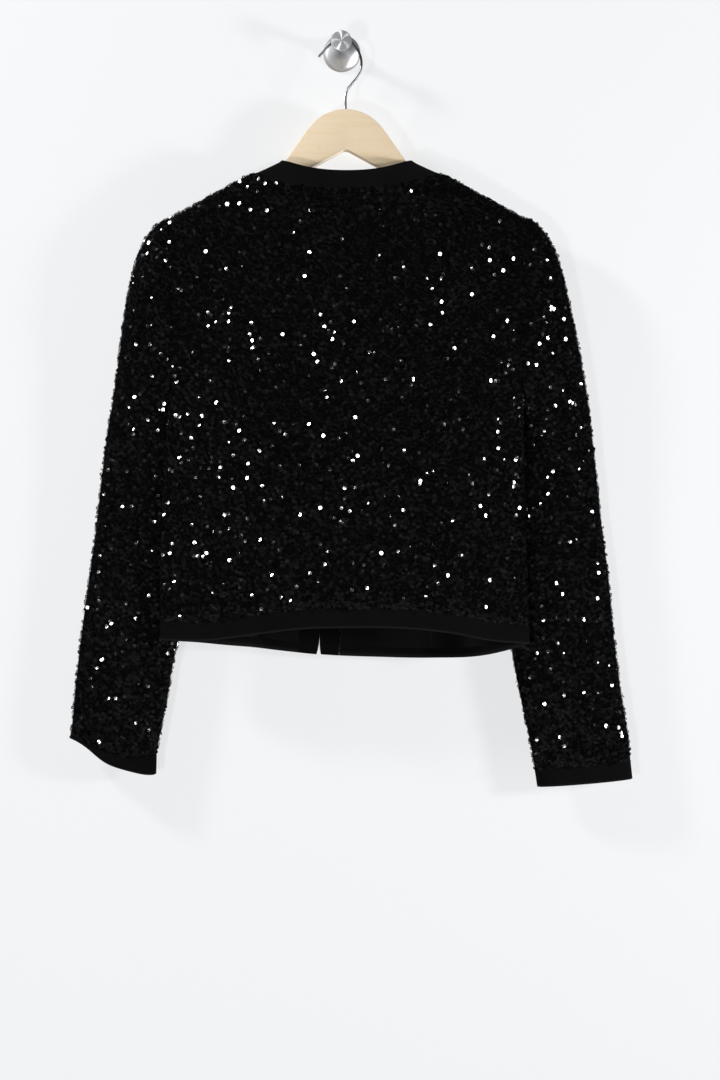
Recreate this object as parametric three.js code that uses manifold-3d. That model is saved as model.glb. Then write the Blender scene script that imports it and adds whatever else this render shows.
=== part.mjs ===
// A cropped, collarless, long-sleeved jacket of black sequinned cloth with plain velvet bands,
// hanging flat on a flat wooden hanger whose wire hook rests on a trumpet-shaped wall knob.
// Millimetres, +Z up. The wall is the plane Y = 0, the jacket hangs on its -Y side and shows its back
// to -Y. The origin is the centre of the knob's flat foot, on the wall.
// "left" and "right" are the wearer's: the jacket's left side lies at -X, its right side at +X.

import * as THREE from "three";
import * as BufferGeometryUtils from "three/addons/utils/BufferGeometryUtils.js";
import Module from "manifold-3d";

// Cloth
const CLOTH_WALL = 1.6; // sequinned cloth with its backing
const BAND_WALL = 2.0; // folded velvet band
const LINING_WALL = 1.0;
const SEAM_GAP = 0.3;
const HALF_GAP = SEAM_GAP / 2;
const HEM_BAND = 21.5; // height of the velvet band at the hem
const FRONT_BAND = 22.5; // width of the velvet band along each front edge
const LINING_UNDER = BAND_WALL + SEAM_GAP; // from the outer face of the body to the lining
const LINING_REACH = 0.93; // share of the body's half width
const LINING_TOP_Z = -415; // it is built as far up as the open hem shows it
const LINING_LIFT = 11; // above the lower edge

// Where the jacket hangs
const HANGER_Y = -33; // middle plane of the hanger, the hook and the shoulder seams
const HEM_LEVEL_Z = -650; // where places across the body are compared
const SIDE_SEAM_Y = -46; // the side seams lie further from the wall, in front of the sleeves
const CENTRE_X = 6;
const SHOULDER_ROUND = 20; // height over which the cloth turns over the hanger's arms
const UNDERARM_ROUND = 50; // height over which the armhole opens

// Shoulder line, as distance from CENTRE_X
const NECK_HALF = 107; // to the seam of the neck band
const NECK_OPEN_HALF = 74.5; // to the open edge of the neck band
const NECK_POINT_Z = -146.5;
const SHOULDER_SLOPE = 0.53;
const NECK_SLOPE = 0.43; // the band's own slope, between seam and open edge
const BACK_NECK_SEAM_Z = -167.5;
const BACK_NECK_EDGE_Z = -147.5;
const FRONT_NECK_SEAM_Z = -234;
const FRONT_NECK_EDGE_Z = -213;
const UNDERARM_Z = -390;
const SHOULDER_POINT_Z = -193.7;

// Side edges of the body, from the shoulder points down to the hem
const SIDE_EDGES = [
  { z: -670, left: -199.5, right: 208.0 },
  { z: -562, left: -199.6, right: 204.6 },
  { z: -431, left: -193.0, right: 201.2 },
  { z: -390, left: -189.2, right: 200.0 },
  { z: -289, left: -186.4, right: 199.2 },
  { z: -190, left: -190.0, right: 202.5 },
];

// Lower edges: the back is lifted in its middle, the fronts hang longer than the back
const BACK_HEM = [
  { x: -200, z: -661.5 },
  { x: -148, z: -661.0 },
  { x: -93, z: -654.0 },
  { x: -47, z: -648.0 },
  { x: 4, z: -646.5 },
  { x: 75, z: -647.5 },
  { x: 131, z: -654.5 },
  { x: 160, z: -661.0 },
  { x: 208, z: -665.5 },
];
const FRONT_HEM = [
  { x: -200, z: -661.5 },
  { x: -150, z: -664.5 },
  { x: -80, z: -673.5 },
  { x: -27, z: -679.0 },
  { x: 37, z: -682.0 },
  { x: 108, z: -682.5 },
  { x: 160, z: -678.0 },
  { x: 208, z: -665.5 },
];

// The two front edges hang edge to edge, slanting towards the left, and part in a notch at the hem
const FRONT_EDGE = [
  { z: -690, x: -26.5 },
  { z: -450, x: -12.0 },
  { z: -200, x: 5.0 },
];
const HEM_NOTCH_TOP_Z = -669;
const HEM_NOTCH_BOTTOM_Z = -683;
const HEM_NOTCH_HALF = 3.2;
const HEM_NOTCH_SHARE = 0.023; // of the way up the front band

// Depths of the body between its two side seams
const BACK_SIDE_Y = -53;
const BACK_BULGE = 19;
const BACK_TOP_BULGE = 0.55; // share of the bulge that is left at the shoulders
const BACK_BULGE_FULL_Z = -460;
const BACK_BULGE_LEAST_Z = -170;
const FRONT_TOP_Y = -21; // beside the armholes, over the hanger
const FRONT_SIDE_Y = -42.6; // beside the side seams, in front of the sleeves
const FRONT_CENTRE_Y = -14;
const FRONT_SIDE_FULL_Z = -385;
const FRONT_TOP_FULL_Z = -255;
const FRONT_FLAT_HALF = 92; // the fronts lie flat as far as this from the middle
const FRONT_TURNED_HALF = 144;
const FRONT_CROWN = 3;
const ARMHOLE_HALF_DEPTH = 14;

// Soft hanging folds: "out" is how far a ridge stands out of the panel at the hem, and "lean" how far
// it moves sideways over FOLD_LEAN_HEIGHT
const FOLD_LEAN_HEIGHT = 200;
const BACK_FOLDS = [
  { x: -152, lean: 10, half: 15, out: 2.2, top: -430 },
  { x: -104, lean: 16, half: 19, out: -2.6, top: -380 },
  { x: -58, lean: 10, half: 16, out: 2.0, top: -470 },
  { x: 22, lean: -4, half: 20, out: -2.0, top: -500 },
  { x: 46, lean: -6, half: 11, out: 1.6, top: -560 },
  { x: 92, lean: -12, half: 18, out: 2.4, top: -440 },
  { x: 142, lean: -16, half: 15, out: -2.8, top: -400 },
];
const FRONT_FOLDS = [
  { x: -96, lean: 14, half: 20, out: 2.4, top: -420 },
  { x: 40, lean: -6, half: 22, out: 2.2, top: -460 },
  { x: 98, lean: -10, half: 17, out: -2.4, top: -400 },
];

// Sleeves. Each row is a cross-section from its outer fold (ox, oy, oz) to its inner fold (ix, iy, iz),
// half deep as given in the middle. They start beside the armhole and end at the seam of the cuff.
const LEFT_SLEEVE = [
  { ox: -199.0, oy: -33, oz: -195.5, ix: -190.5, iy: -45, iz: -391, half: 16 },
  { ox: -209.0, oy: -33, oz: -205, ix: -190.9, iy: -43.6, iz: -392.2, half: 17 },
  { ox: -219.0, oy: -32, oz: -218, ix: -191.2, iy: -42, iz: -393.6, half: 17.5 },
  { ox: -228.0, oy: -31, oz: -239, ix: -191.4, iy: -40.2, iz: -395.4, half: 17.5 },
  { ox: -237.0, oy: -29, oz: -272, ix: -191.4, iy: -38, iz: -398, half: 17 },
  { ox: -243.0, oy: -27, oz: -308, ix: -190.8, iy: -35.4, iz: -402.4, half: 16.5 },
  { ox: -248.5, oy: -25, oz: -350, ix: -189.4, iy: -32.2, iz: -409.4, half: 16 },
  { ox: -255.0, oy: -24, oz: -395, ix: -185.6, iy: -28.6, iz: -420, half: 15.5 },
  { ox: -263.0, oy: -23, oz: -440, ix: -177.0, iy: -25.4, iz: -437, half: 15 },
  { ox: -268.5, oy: -22, oz: -485, ix: -167.0, iy: -23, iz: -470, half: 14.5 },
  { ox: -273.5, oy: -22, oz: -529, ix: -164.0, iy: -22, iz: -515, half: 14.5 },
  { ox: -279.0, oy: -22, oz: -572, ix: -166.0, iy: -22, iz: -560, half: 14.5 },
  { ox: -285.0, oy: -22, oz: -613, ix: -172.0, iy: -22, iz: -605, half: 14 },
  { ox: -291.0, oy: -22, oz: -655, ix: -183.5, iy: -22, iz: -664, half: 13.5 },
  { ox: -295.6, oy: -22, oz: -696, ix: -190.5, iy: -22, iz: -699, half: 13 },
  { ox: -299.4, oy: -22, oz: -727, ix: -196.5, iy: -22, iz: -738, half: 12.5 },
  { ox: -301.0, oy: -22, oz: -742, ix: -203.5, iy: -22, iz: -768, half: 12 },
  { ox: -302.4, oy: -22, oz: -752, ix: -207.0, iy: -22, iz: -791, half: 12 },
];
const RIGHT_SLEEVE = [
  { ox: 211.0, oy: -33, oz: -194.5, ix: 201.4, iy: -45, iz: -391, half: 16 },
  { ox: 222.0, oy: -33, oz: -205, ix: 201.8, iy: -43.6, iz: -392.2, half: 17 },
  { ox: 232.0, oy: -32, oz: -218, ix: 202.1, iy: -42, iz: -393.6, half: 17.5 },
  { ox: 241.0, oy: -31, oz: -239, ix: 202.3, iy: -40.2, iz: -395.4, half: 17.5 },
  { ox: 250.0, oy: -29, oz: -272, ix: 202.3, iy: -38, iz: -398, half: 17 },
  { ox: 258.5, oy: -27, oz: -308, ix: 201.7, iy: -35.4, iz: -402.4, half: 16.5 },
  { ox: 267.0, oy: -25, oz: -350, ix: 200.3, iy: -32.2, iz: -409.4, half: 16 },
  { ox: 275.0, oy: -24, oz: -395, ix: 196.5, iy: -28.6, iz: -420, half: 15.5 },
  { ox: 280.5, oy: -23, oz: -440, ix: 187.9, iy: -25.4, iz: -437, half: 15 },
  { ox: 285.5, oy: -22, oz: -485, ix: 177.9, iy: -23, iz: -470, half: 14.5 },
  { ox: 290.0, oy: -22, oz: -529, ix: 174.9, iy: -22, iz: -515, half: 14.5 },
  { ox: 296.0, oy: -22, oz: -572, ix: 176.9, iy: -22, iz: -560, half: 14.5 },
  { ox: 300.5, oy: -22, oz: -613, ix: 182.9, iy: -22, iz: -605, half: 14 },
  { ox: 304.0, oy: -22, oz: -655, ix: 189.5, iy: -22, iz: -666, half: 13.5 },
  { ox: 309.0, oy: -22, oz: -698, ix: 195.5, iy: -22, iz: -704, half: 13 },
  { ox: 315.5, oy: -22, oz: -741, ix: 204.0, iy: -22, iz: -745, half: 12.5 },
  { ox: 321.0, oy: -22, oz: -774, ix: 211.5, iy: -22, iz: -779, half: 12 },
  { ox: 323.0, oy: -22, oz: -798, ix: 216.0, iy: -22, iz: -806.5, half: 12 },
];
// Lower end of each cuff
const LEFT_CUFF_END = { ox: -304.6, oy: -22, oz: -771.5, ix: -207.4, iy: -22, iz: -811, half: 12.5 };
const RIGHT_CUFF_END = { ox: 325.2, oy: -22, oz: -817.5, ix: 219.0, iy: -22, iz: -826.5, half: 12.5 };

// The left sleeve's end sags in a bow, with its velvet folded up at the outer corner: how far its seam
// and its end drop, at shares of the way from the outer to the inner fold
const CUFF_SAG = [
  { place: 0, seam: 16.0, end: 0.0 },
  { place: 0.14, seam: 16.0, end: -0.6 },
  { place: 0.22, seam: 16.8, end: 0.6 },
  { place: 0.3, seam: 18.0, end: 5.6 },
  { place: 0.41, seam: 18.0, end: 10.8 },
  { place: 0.56, seam: 17.0, end: 10.4 },
  { place: 0.7, seam: 13.0, end: 8.4 },
  { place: 0.83, seam: 8.0, end: 7.4 },
  { place: 0.95, seam: 2.5, end: 4.0 },
  { place: 1, seam: 0.0, end: 1.0 },
];
const SAG_FROM = 13.5; // row where the sag starts
const SAG_TO = 17; // row of the cuff's seam

// Slack rings across the sleeves, mostly at the elbow: "at" is the row where a trough crosses
const SLEEVE_FOLDS = [
  { at: 6.4, half: 0.5, skew: 0.9, in: 1.6 },
  { at: 9.2, half: 0.45, skew: -0.7, in: 2.2 },
  { at: 10.6, half: 0.4, skew: 0.8, in: 1.8 },
  { at: 13.3, half: 0.45, skew: -0.5, in: 1.4 },
  { at: 15.4, half: 0.35, skew: 0.6, in: 1.6 },
];

// Hanger
const HANGER_X = 4.6;
const HANGER_BOARD = 12;
const ARM_CLEARANCE = 10; // from the shoulder line down to the arm, below the cloth's turn
const ARM_HALF = 196;
const TIP_HALF = 205;
const CROWN_TOP_Z = -73.3;
const CROWN = [ // the crown's outline: distance from HANGER_X, and height
  { out: 0, z: CROWN_TOP_Z },
  { out: 8.5, z: -74.0 },
  { out: 18.0, z: -76.8 },
  { out: 26.4, z: -80.9 },
  { out: 34.5, z: -87.3 },
  { out: 41.5, z: -95.1 },
  { out: 48.7, z: -104.9 },
  { out: 55.6, z: -114.8 },
  { out: 62.2, z: -124.4 },
  { out: 67.6, z: -132.0 },
  { out: 72.0, z: -138.3 },
  { out: 80.0, z: -144.0 },
  { out: 94.0, z: -150.6 },
];
const CROWN_STEPS = 22;
const NOTCH_Z = -117.6; // apex of the notch under the crown
const ARM_SLOPE = 0.546;
const WIRE_RADIUS = 1.3;
const WIRE_HOLE_RADIUS = 1.7;
const WIRE_HOLE_DEPTH = 16;
const WIRE_SIDES = 8;
const WIRE_STEPS = 54;

// Wall knob
const FOOT_RADIUS = 21;
const FOOT_RIM = 2;
const STEM_RADIUS = 4.4;
const HEAD_RADIUS = 11.5;
const KNOB_LENGTH = 46;
const KNOB_SIDES = 32;

// Number of steps along the grids
const BODY_ROWS = 18;
const SHOULDER_COLUMNS = 6; // from the shoulder point to the neck
const BACK_NECK_COLUMNS = 16;
const FRONT_NECK_COLUMNS = 9; // from the front band to the shoulder seam
const LINING_ROWS = 7;
const SLEEVE_COLUMNS = 9;
const SLEEVE_STEPS_PER_ROW = 1.4;

const BLACK_SEQUIN = new THREE.MeshStandardMaterial({ color: "#0b0b0d", roughness: 0.45, metalness: 0.1 });
const BLACK_VELVET = new THREE.MeshStandardMaterial({ color: "#08080a", roughness: 0.95, metalness: 0 });
const GREY_SATIN = new THREE.MeshStandardMaterial({ color: "#121214", roughness: 0.4, metalness: 0 });
const PALE_WOOD = new THREE.MeshStandardMaterial({ color: "#e6cfae", roughness: 0.5, metalness: 0 });
const STEEL_WIRE = new THREE.MeshStandardMaterial({ color: "#b4b4b2", roughness: 0.25, metalness: 1 });
const BRUSHED_STEEL = new THREE.MeshStandardMaterial({ color: "#a9a8a5", roughness: 0.38, metalness: 1 });

const { lerp, clamp, smoothstep } = THREE.MathUtils;

// A smooth line through the rows of a table: the value of one column at a place in another column
function tracer(rows, along, column) {
  return (place) => {
    let k = 0;
    while (k < rows.length - 2 && place > rows[k + 1][along]) k += 1;
    const [a, b] = [rows[k], rows[k + 1]];
    const span = b[along] - a[along];
    const rise = (p, q) => (q[column] - p[column]) / (q[along] - p[along]);
    const slopeA = k > 0 ? (rise(rows[k - 1], a) + rise(a, b)) / 2 : rise(a, b);
    const slopeB = k < rows.length - 2 ? (rise(a, b) + rise(b, rows[k + 2])) / 2 : rise(a, b);
    const t = clamp((place - a[along]) / span, 0, 1);
    const [t2, t3] = [t * t, t * t * t];
    return (2 * t3 - 3 * t2 + 1) * a[column] + (t3 - 2 * t2 + t) * span * slopeA
      + (3 * t2 - 2 * t3) * b[column] + (t3 - t2) * span * slopeB;
  };
}

// A closed wall between an outer and an inner grid of points, both given as rows of Vector3
function wallGeometry(outer, inner, ring = false) {
  const rows = outer.length;
  const columns = outer[0].length;
  const points = [...outer.flat(), ...inner.flat()];
  const innerStart = rows * columns;
  const index = [];
  const quad = (a, b, c, d) => index.push(a, b, c, a, c, d);
  const steps = ring ? columns : columns - 1;
  for (let i = 0; i < rows - 1; i += 1) {
    for (let j = 0; j < steps; j += 1) {
      const next = (j + 1) % columns;
      const [a, b] = [i * columns + j, i * columns + next];
      const [c, d] = [b + columns, a + columns];
      quad(a, b, c, d);
      quad(innerStart + a, innerStart + d, innerStart + c, innerStart + b);
    }
    if (!ring) {
      const [a, d] = [i * columns, (i + 1) * columns];
      quad(a, d, innerStart + d, innerStart + a);
      const [b, c] = [a + columns - 1, d + columns - 1];
      quad(b, innerStart + b, innerStart + c, c);
    }
  }
  for (let j = 0; j < steps; j += 1) {
    const next = (j + 1) % columns;
    quad(j, innerStart + j, innerStart + next, next);
    const last = (rows - 1) * columns;
    quad(last + j, last + next, innerStart + last + next, innerStart + last + j);
  }
  let volume = 0;
  for (let k = 0; k < index.length; k += 3) {
    const [p, q, r] = [points[index[k]], points[index[k + 1]], points[index[k + 2]]];
    volume += p.dot(q.clone().cross(r));
  }
  if (volume < 0) index.reverse();
  const geometry = new THREE.BufferGeometry();
  const numbers = points.flatMap((p) => [p.x, p.y, p.z]);
  geometry.setAttribute("position", new THREE.Float32BufferAttribute(numbers, 3));
  geometry.setIndex(index);
  geometry.computeVertexNormals();
  return geometry;
}

// Body: its outline
const leftEdge = tracer(SIDE_EDGES, "z", "left");
const rightEdge = tracer(SIDE_EDGES, "z", "right");
const backHem = tracer(BACK_HEM, "x", "z");
const frontHem = tracer(FRONT_HEM, "x", "z");
const frontEdge = tracer(FRONT_EDGE, "z", "x");

function shoulderLine(x) {
  const out = Math.abs(x - CENTRE_X);
  const slope = out > NECK_HALF ? SHOULDER_SLOPE : NECK_SLOPE;
  return NECK_POINT_Z - slope * (out - NECK_HALF);
}

const edgeAt = (direction, z) => (direction < 0 ? leftEdge(z) : rightEdge(z));

// Share of the way from the middle (0) to the left (-1) or right (1) edge of the body
function across(x, z) {
  const [left, right] = [leftEdge(z), rightEdge(z)];
  return (2 * x - left - right) / (right - left);
}

// Neckline heights at a share of the neck's half width: 0 in the middle, 1 at the shoulder seam
const neckCurve = (low, high, share, power) => lerp(low, high, Math.min(1, Math.abs(share)) ** power);
const backNeckSeam = (share) => neckCurve(BACK_NECK_SEAM_Z, NECK_POINT_Z, share, 2.6);
const neckEdgePoint = NECK_POINT_Z + NECK_SLOPE * (NECK_HALF - NECK_OPEN_HALF);
const backNeckEdge = (share) => neckCurve(BACK_NECK_EDGE_Z, neckEdgePoint, share, 2.4);
const frontDrop = (low, high, share) => (
  high - (high - low) * Math.sqrt(1 - Math.min(1, Math.abs(share)) ** 2.2)
);
const frontNeckSeam = (share) => frontDrop(FRONT_NECK_SEAM_Z, NECK_POINT_Z, share);
const frontNeckEdge = (share) => frontDrop(FRONT_NECK_EDGE_Z, neckEdgePoint, share);

// Body: its depth
function foldDepth(folds, x, z) {
  return folds.reduce((sum, fold) => {
    const middle = fold.x + fold.lean * (z - HEM_LEVEL_Z) / FOLD_LEAN_HEIGHT;
    const grown = 1 - smoothstep(z, HEM_LEVEL_Z, fold.top);
    return sum + fold.out * grown * Math.exp(-(((x - middle) / fold.half) ** 2));
  }, 0);
}

// Share of its full depth that the cloth has near a fold, at a distance from the fold
function roundedTurn(distance, reach) {
  return (1 - (1 - clamp(distance / reach, 0, 1)) ** 3) ** 0.4;
}

// The armhole is a loop, closed at the shoulder point and at the underarm
function edgeMiddleY(z) {
  return lerp(SIDE_SEAM_Y, HANGER_Y, clamp((z - UNDERARM_Z) / (SHOULDER_POINT_Z - UNDERARM_Z), 0, 1));
}

function bodyDepth(side, x, z) {
  const share = clamp(across(x, z), -1, 1);
  const armhole = smoothstep(z, UNDERARM_Z - 30, UNDERARM_Z + 30);
  const turn = lerp(Math.sqrt(Math.max(0, 1 - Math.abs(share) ** 9)), 1 - share ** 6, armhole);
  const away = side === "back" ? -1 : 1;
  const open = ARMHOLE_HALF_DEPTH * roundedTurn(z - UNDERARM_Z, UNDERARM_ROUND);
  const edge = edgeMiddleY(z) + away * (HALF_GAP + open);
  let flat;
  if (side === "back") {
    const grown = lerp(1, BACK_TOP_BULGE, smoothstep(z, BACK_BULGE_FULL_Z, BACK_BULGE_LEAST_Z));
    flat = BACK_SIDE_Y - BACK_BULGE * grown * (1 - share * share) ** 1.1 - foldDepth(BACK_FOLDS, x, z);
  } else {
    const beside = lerp(FRONT_SIDE_Y, FRONT_TOP_Y, smoothstep(z, FRONT_SIDE_FULL_Z, FRONT_TOP_FULL_Z));
    const out = smoothstep(Math.abs(x - CENTRE_X), FRONT_FLAT_HALF, FRONT_TURNED_HALF);
    const crown = FRONT_CROWN * (1 - out) * share * share;
    flat = lerp(FRONT_CENTRE_Y, beside, out) - crown + foldDepth(FRONT_FOLDS, x, z);
  }
  const over = roundedTurn(shoulderLine(x) - z, SHOULDER_ROUND);
  return lerp(HANGER_Y + away * HALF_GAP, lerp(edge, flat, turn), over);
}

// Outward direction of the body at a point. On a seam the wall's end stays square to the seam.
function bodyOut(side, x, z) {
  const away = side === "back" ? -1 : 1;
  const share = across(x, z);
  if (shoulderLine(x) - z < 0.5) {
    const slope = Math.abs(x - CENTRE_X) > NECK_HALF ? SHOULDER_SLOPE : NECK_SLOPE;
    return new THREE.Vector3(slope * Math.sign(x - CENTRE_X), 0, 1).normalize();
  }
  if (Math.abs(share) > 0.999 && z < UNDERARM_Z + 1) return new THREE.Vector3(Math.sign(share), 0, 0);
  const step = 0.6;
  const towards = x > CENTRE_X ? -step : step;
  const slopeX = (bodyDepth(side, x + towards, z) - bodyDepth(side, x, z)) / towards;
  const slopeZ = (bodyDepth(side, x, z) - bodyDepth(side, x, z - step)) / step;
  const square = Math.abs(share) > 0.999 ? 0 : 1;
  return new THREE.Vector3(-slopeX * away * square, away, -slopeZ * away).normalize();
}

const evenShares = (count) => Array.from({ length: count + 1 }, (_, k) => k / count);
// Shares closer together towards both ends, or towards the second end only
const endShares = (count) => evenShares(count).map((s) => lerp(s, (1 - Math.cos(Math.PI * s)) / 2, 0.75));
const lateShares = (count) => evenShares(count).map((s) => lerp(s, Math.sin(Math.PI * s / 2), 0.8));
// The same with one more share just before the end, where the cloth turns over the hanger
const turnShares = (count) => {
  const shares = lateShares(count);
  return [...shares.slice(0, -1), lerp(shares[count - 1], 1, 0.7), 1];
};

// A wall on the body's form. The grid holds rows of { x, z } points, and "under" is how far the wall's
// outer face lies inside the body's form.
function bodyWall(side, grid, wall, under = 0) {
  const placed = grid.map((row) => row.map(({ x, z }) => (
    { point: new THREE.Vector3(x, bodyDepth(side, x, z), z), out: bodyOut(side, x, z) }
  )));
  const shifted = (depth) => placed.map((row) => row.map(({ point, out }) => (
    point.clone().addScaledVector(out, -depth)
  )));
  return wallGeometry(shifted(under), shifted(under + wall));
}

// A point of the seam of the neck band, moved away from the neck, at a share of the neck's half width
function neckSeamPoint(side, share, away = 0) {
  const curve = side === "back" ? backNeckSeam : frontNeckSeam;
  const x = CENTRE_X + share * NECK_HALF;
  const z = curve(share);
  if (Math.abs(share) > 0.999) return { x: x + Math.sign(share) * away, z: z - away * SHOULDER_SLOPE };
  const step = 0.0005;
  const rise = (curve(share + step) - curve(share - step)) / (2 * step * NECK_HALF);
  const length = Math.hypot(rise, 1);
  return { x: x + away * rise / length, z: z - away / length };
}

// Points along the shoulder, from the shoulder point to the neck
function shoulderPoints(direction) {
  const far = edgeAt(direction, SHOULDER_POINT_Z);
  const near = CENTRE_X + direction * (NECK_HALF + SEAM_GAP);
  return evenShares(SHOULDER_COLUMNS).slice(0, -1).map((s) => {
    const x = lerp(far, near, s);
    return { x, z: shoulderLine(x) };
  });
}

// Each column of a panel keeps its share of the way between two lines that run down the body
function columnGrid(tops, nearLine, farLine, bottomOf, rowShares) {
  const columns = tops.map(({ x, z }) => {
    const share = (x - nearLine(z)) / (farLine(z) - nearLine(z));
    const hemX = lerp(nearLine(HEM_LEVEL_Z), farLine(HEM_LEVEL_Z), share);
    return { share, top: z, bottom: bottomOf(hemX) };
  });
  return rowShares.map((t) => columns.map(({ share, top, bottom }) => {
    const [low, high] = Array.isArray(bottom) ? bottom : [bottom, top];
    const z = lerp(low, high, t);
    return { x: lerp(nearLine(z), farLine(z), share), z };
  }));
}

const backSeam = (x) => backHem(x) + HEM_BAND;
const frontSeam = (x) => frontHem(x) + HEM_BAND;

const BACK_NECK_SHARES = endShares(BACK_NECK_COLUMNS).map((s) => 2 * s - 1);
const BACK_TOPS = [
  ...shoulderPoints(-1),
  ...BACK_NECK_SHARES.map((share) => neckSeamPoint("back", share, SEAM_GAP)),
  ...shoulderPoints(1).reverse(),
];

function backPanel() {
  const grid = columnGrid(BACK_TOPS, leftEdge, rightEdge, backSeam, turnShares(BODY_ROWS));
  return bodyWall("back", grid, CLOTH_WALL);
}

function backHemBand() {
  const range = (x) => [backHem(x), backSeam(x) - SEAM_GAP];
  return bodyWall("back", columnGrid(BACK_TOPS, leftEdge, rightEdge, range, evenShares(2)), BAND_WALL);
}

// Lines down a front: its free edge, and the edge of the panel beside the front band
const frontFree = (direction) => (z) => frontEdge(z) + direction * HALF_GAP;
const frontInner = (direction) => (z) => frontFree(direction)(z) + direction * (FRONT_BAND + SEAM_GAP);
const notchShare = (z) => clamp((HEM_NOTCH_TOP_Z - z) / (HEM_NOTCH_TOP_Z - HEM_NOTCH_BOTTOM_Z), 0, 1);
const sideLine = (direction) => (z) => edgeAt(direction, z);

// Shares of the neck's half width on a front: across the front band, then on to the shoulder seam
function frontNeckShares(direction) {
  const shareAt = (line) => (line(FRONT_NECK_SEAM_Z) - CENTRE_X) / NECK_HALF;
  const [free, inner] = [shareAt(frontFree(direction)), shareAt(frontInner(direction))];
  const bandEdge = inner - direction * SEAM_GAP / NECK_HALF;
  const band = evenShares(3).map((s) => lerp(free, bandEdge, s));
  const panel = turnShares(FRONT_NECK_COLUMNS).map((s) => lerp(inner, direction, s));
  return { band, panel };
}

function frontTops(direction) {
  const neck = frontNeckShares(direction).panel.map((share) => neckSeamPoint("front", share, SEAM_GAP));
  return [...neck, ...shoulderPoints(direction).reverse()];
}

function frontPanel(direction) {
  const lines = [frontInner(direction), sideLine(direction)];
  const grid = columnGrid(frontTops(direction), ...lines, frontSeam, turnShares(BODY_ROWS));
  return bodyWall("front", grid, CLOTH_WALL);
}

function frontHemBand(direction) {
  const lines = [frontInner(direction), sideLine(direction)];
  const range = (x) => [frontHem(x), frontSeam(x) - SEAM_GAP];
  return bodyWall("front", columnGrid(frontTops(direction), ...lines, range, evenShares(2)), BAND_WALL);
}

const FRONT_BAND_SHARES = [0, HEM_NOTCH_SHARE, ...evenShares(18).slice(1)];

// Strip along a front edge, from the hem to the seam of the neck band
function frontBand(direction) {
  const tops = frontNeckShares(direction).band.map((share) => neckSeamPoint("front", share, SEAM_GAP));
  const straight = frontFree(direction);
  const free = (z) => straight(z) + direction * HEM_NOTCH_HALF * notchShare(z);
  const far = (z) => straight(z) + direction * FRONT_BAND;
  return bodyWall("front", columnGrid(tops, free, far, frontHem, FRONT_BAND_SHARES), BAND_WALL);
}

// Neck band: from its seam up to its open edge
function neckBand(side, shares) {
  const edge = side === "back" ? backNeckEdge : frontNeckEdge;
  const grid = evenShares(3).map((t) => shares.map((share) => {
    const seam = neckSeamPoint(side, share);
    const open = { x: CENTRE_X + share * NECK_OPEN_HALF, z: edge(share) };
    return { x: lerp(seam.x, open.x, t), z: lerp(seam.z, open.z, t) };
  }));
  return bodyWall(side, grid, BAND_WALL);
}

function frontNeckBand(direction) {
  const { band, panel } = frontNeckShares(direction);
  return neckBand("front", [...band.slice(0, -1), ...panel]);
}

// Lining: it lies inside the walls, on their columns
function lining(side, tops, nearLine, farLine, hem) {
  const covered = tops.filter(({ x, z }) => Math.abs(across(x, z)) < LINING_REACH);
  const columns = covered.map(({ x, z }) => {
    const share = (x - nearLine(z)) / (farLine(z) - nearLine(z));
    const hemX = lerp(nearLine(HEM_LEVEL_Z), farLine(HEM_LEVEL_Z), share);
    return { share, bottom: hem(hemX) + LINING_LIFT };
  });
  const grid = evenShares(LINING_ROWS).map((t) => columns.map(({ share, bottom }) => {
    const z = lerp(bottom, LINING_TOP_Z, t);
    return { x: lerp(nearLine(z), farLine(z), share), z };
  }));
  return bodyWall(side, grid, LINING_WALL, LINING_UNDER);
}

const frontLining = (direction) => (
  lining("front", frontTops(direction), frontInner(direction), sideLine(direction), frontHem)
);

// Sleeves
const SLEEVE_KEYS = ["ox", "oy", "oz", "ix", "iy", "iz", "half"];

const seamSag = tracer(CUFF_SAG, "place", "seam");
const endSag = tracer(CUFF_SAG, "place", "end");

function sleeveSections(rows) {
  const table = rows.map((row, at) => ({ ...row, at }));
  const lines = Object.fromEntries(SLEEVE_KEYS.map((key) => [key, tracer(table, "at", key)]));
  const count = Math.round((rows.length - 1) * SLEEVE_STEPS_PER_ROW);
  return evenShares(count).map((share) => {
    const at = share * (rows.length - 1);
    const sag = (place) => (rows === LEFT_SLEEVE ? smoothstep(at, SAG_FROM, SAG_TO) * seamSag(place) : 0);
    return { at, sag, ...Object.fromEntries(SLEEVE_KEYS.map((key) => [key, lines[key](at)])) };
  });
}

function sleeveSlack(section, share) {
  const fade = Math.sin(Math.PI * share);
  return SLEEVE_FOLDS.reduce((sum, fold) => {
    const gap = (section.at - fold.at - fold.skew * (share - 0.5)) / fold.half;
    return sum + fold.in * fade * Math.exp(-gap * gap);
  }, 0);
}

const sleeveShares = evenShares(SLEEVE_COLUMNS).map((share) => (
  { share, place: 0.5 - 0.5 * Math.cos(Math.PI * share) }
));

// One half of a section: its points run from the outer fold to the inner fold on one side.
// The head is filled out by the hanger, so its sections are fuller than those of the empty arm.
function sleeveHalfRow(section, away, inset) {
  const outerFold = new THREE.Vector3(section.ox, section.oy, section.oz);
  const innerFold = new THREE.Vector3(section.ix, section.iy, section.iz);
  const along = innerFold.clone().sub(outerFold);
  const end = inset / along.length();
  const fullness = lerp(0.5, 0.85, smoothstep(section.at, 1, 5));
  return sleeveShares.map(({ share, place }) => {
    const point = outerFold.clone().addScaledVector(along, lerp(end, 1 - end, place));
    const round = Math.max(0, Math.sin(Math.PI * share)) ** fullness;
    const slack = round > 0.2 ? sleeveSlack(section, share) : 0;
    point.y += away * (HALF_GAP + (section.half - inset) * round - slack);
    point.z -= section.sag(place);
    return point;
  });
}

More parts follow.
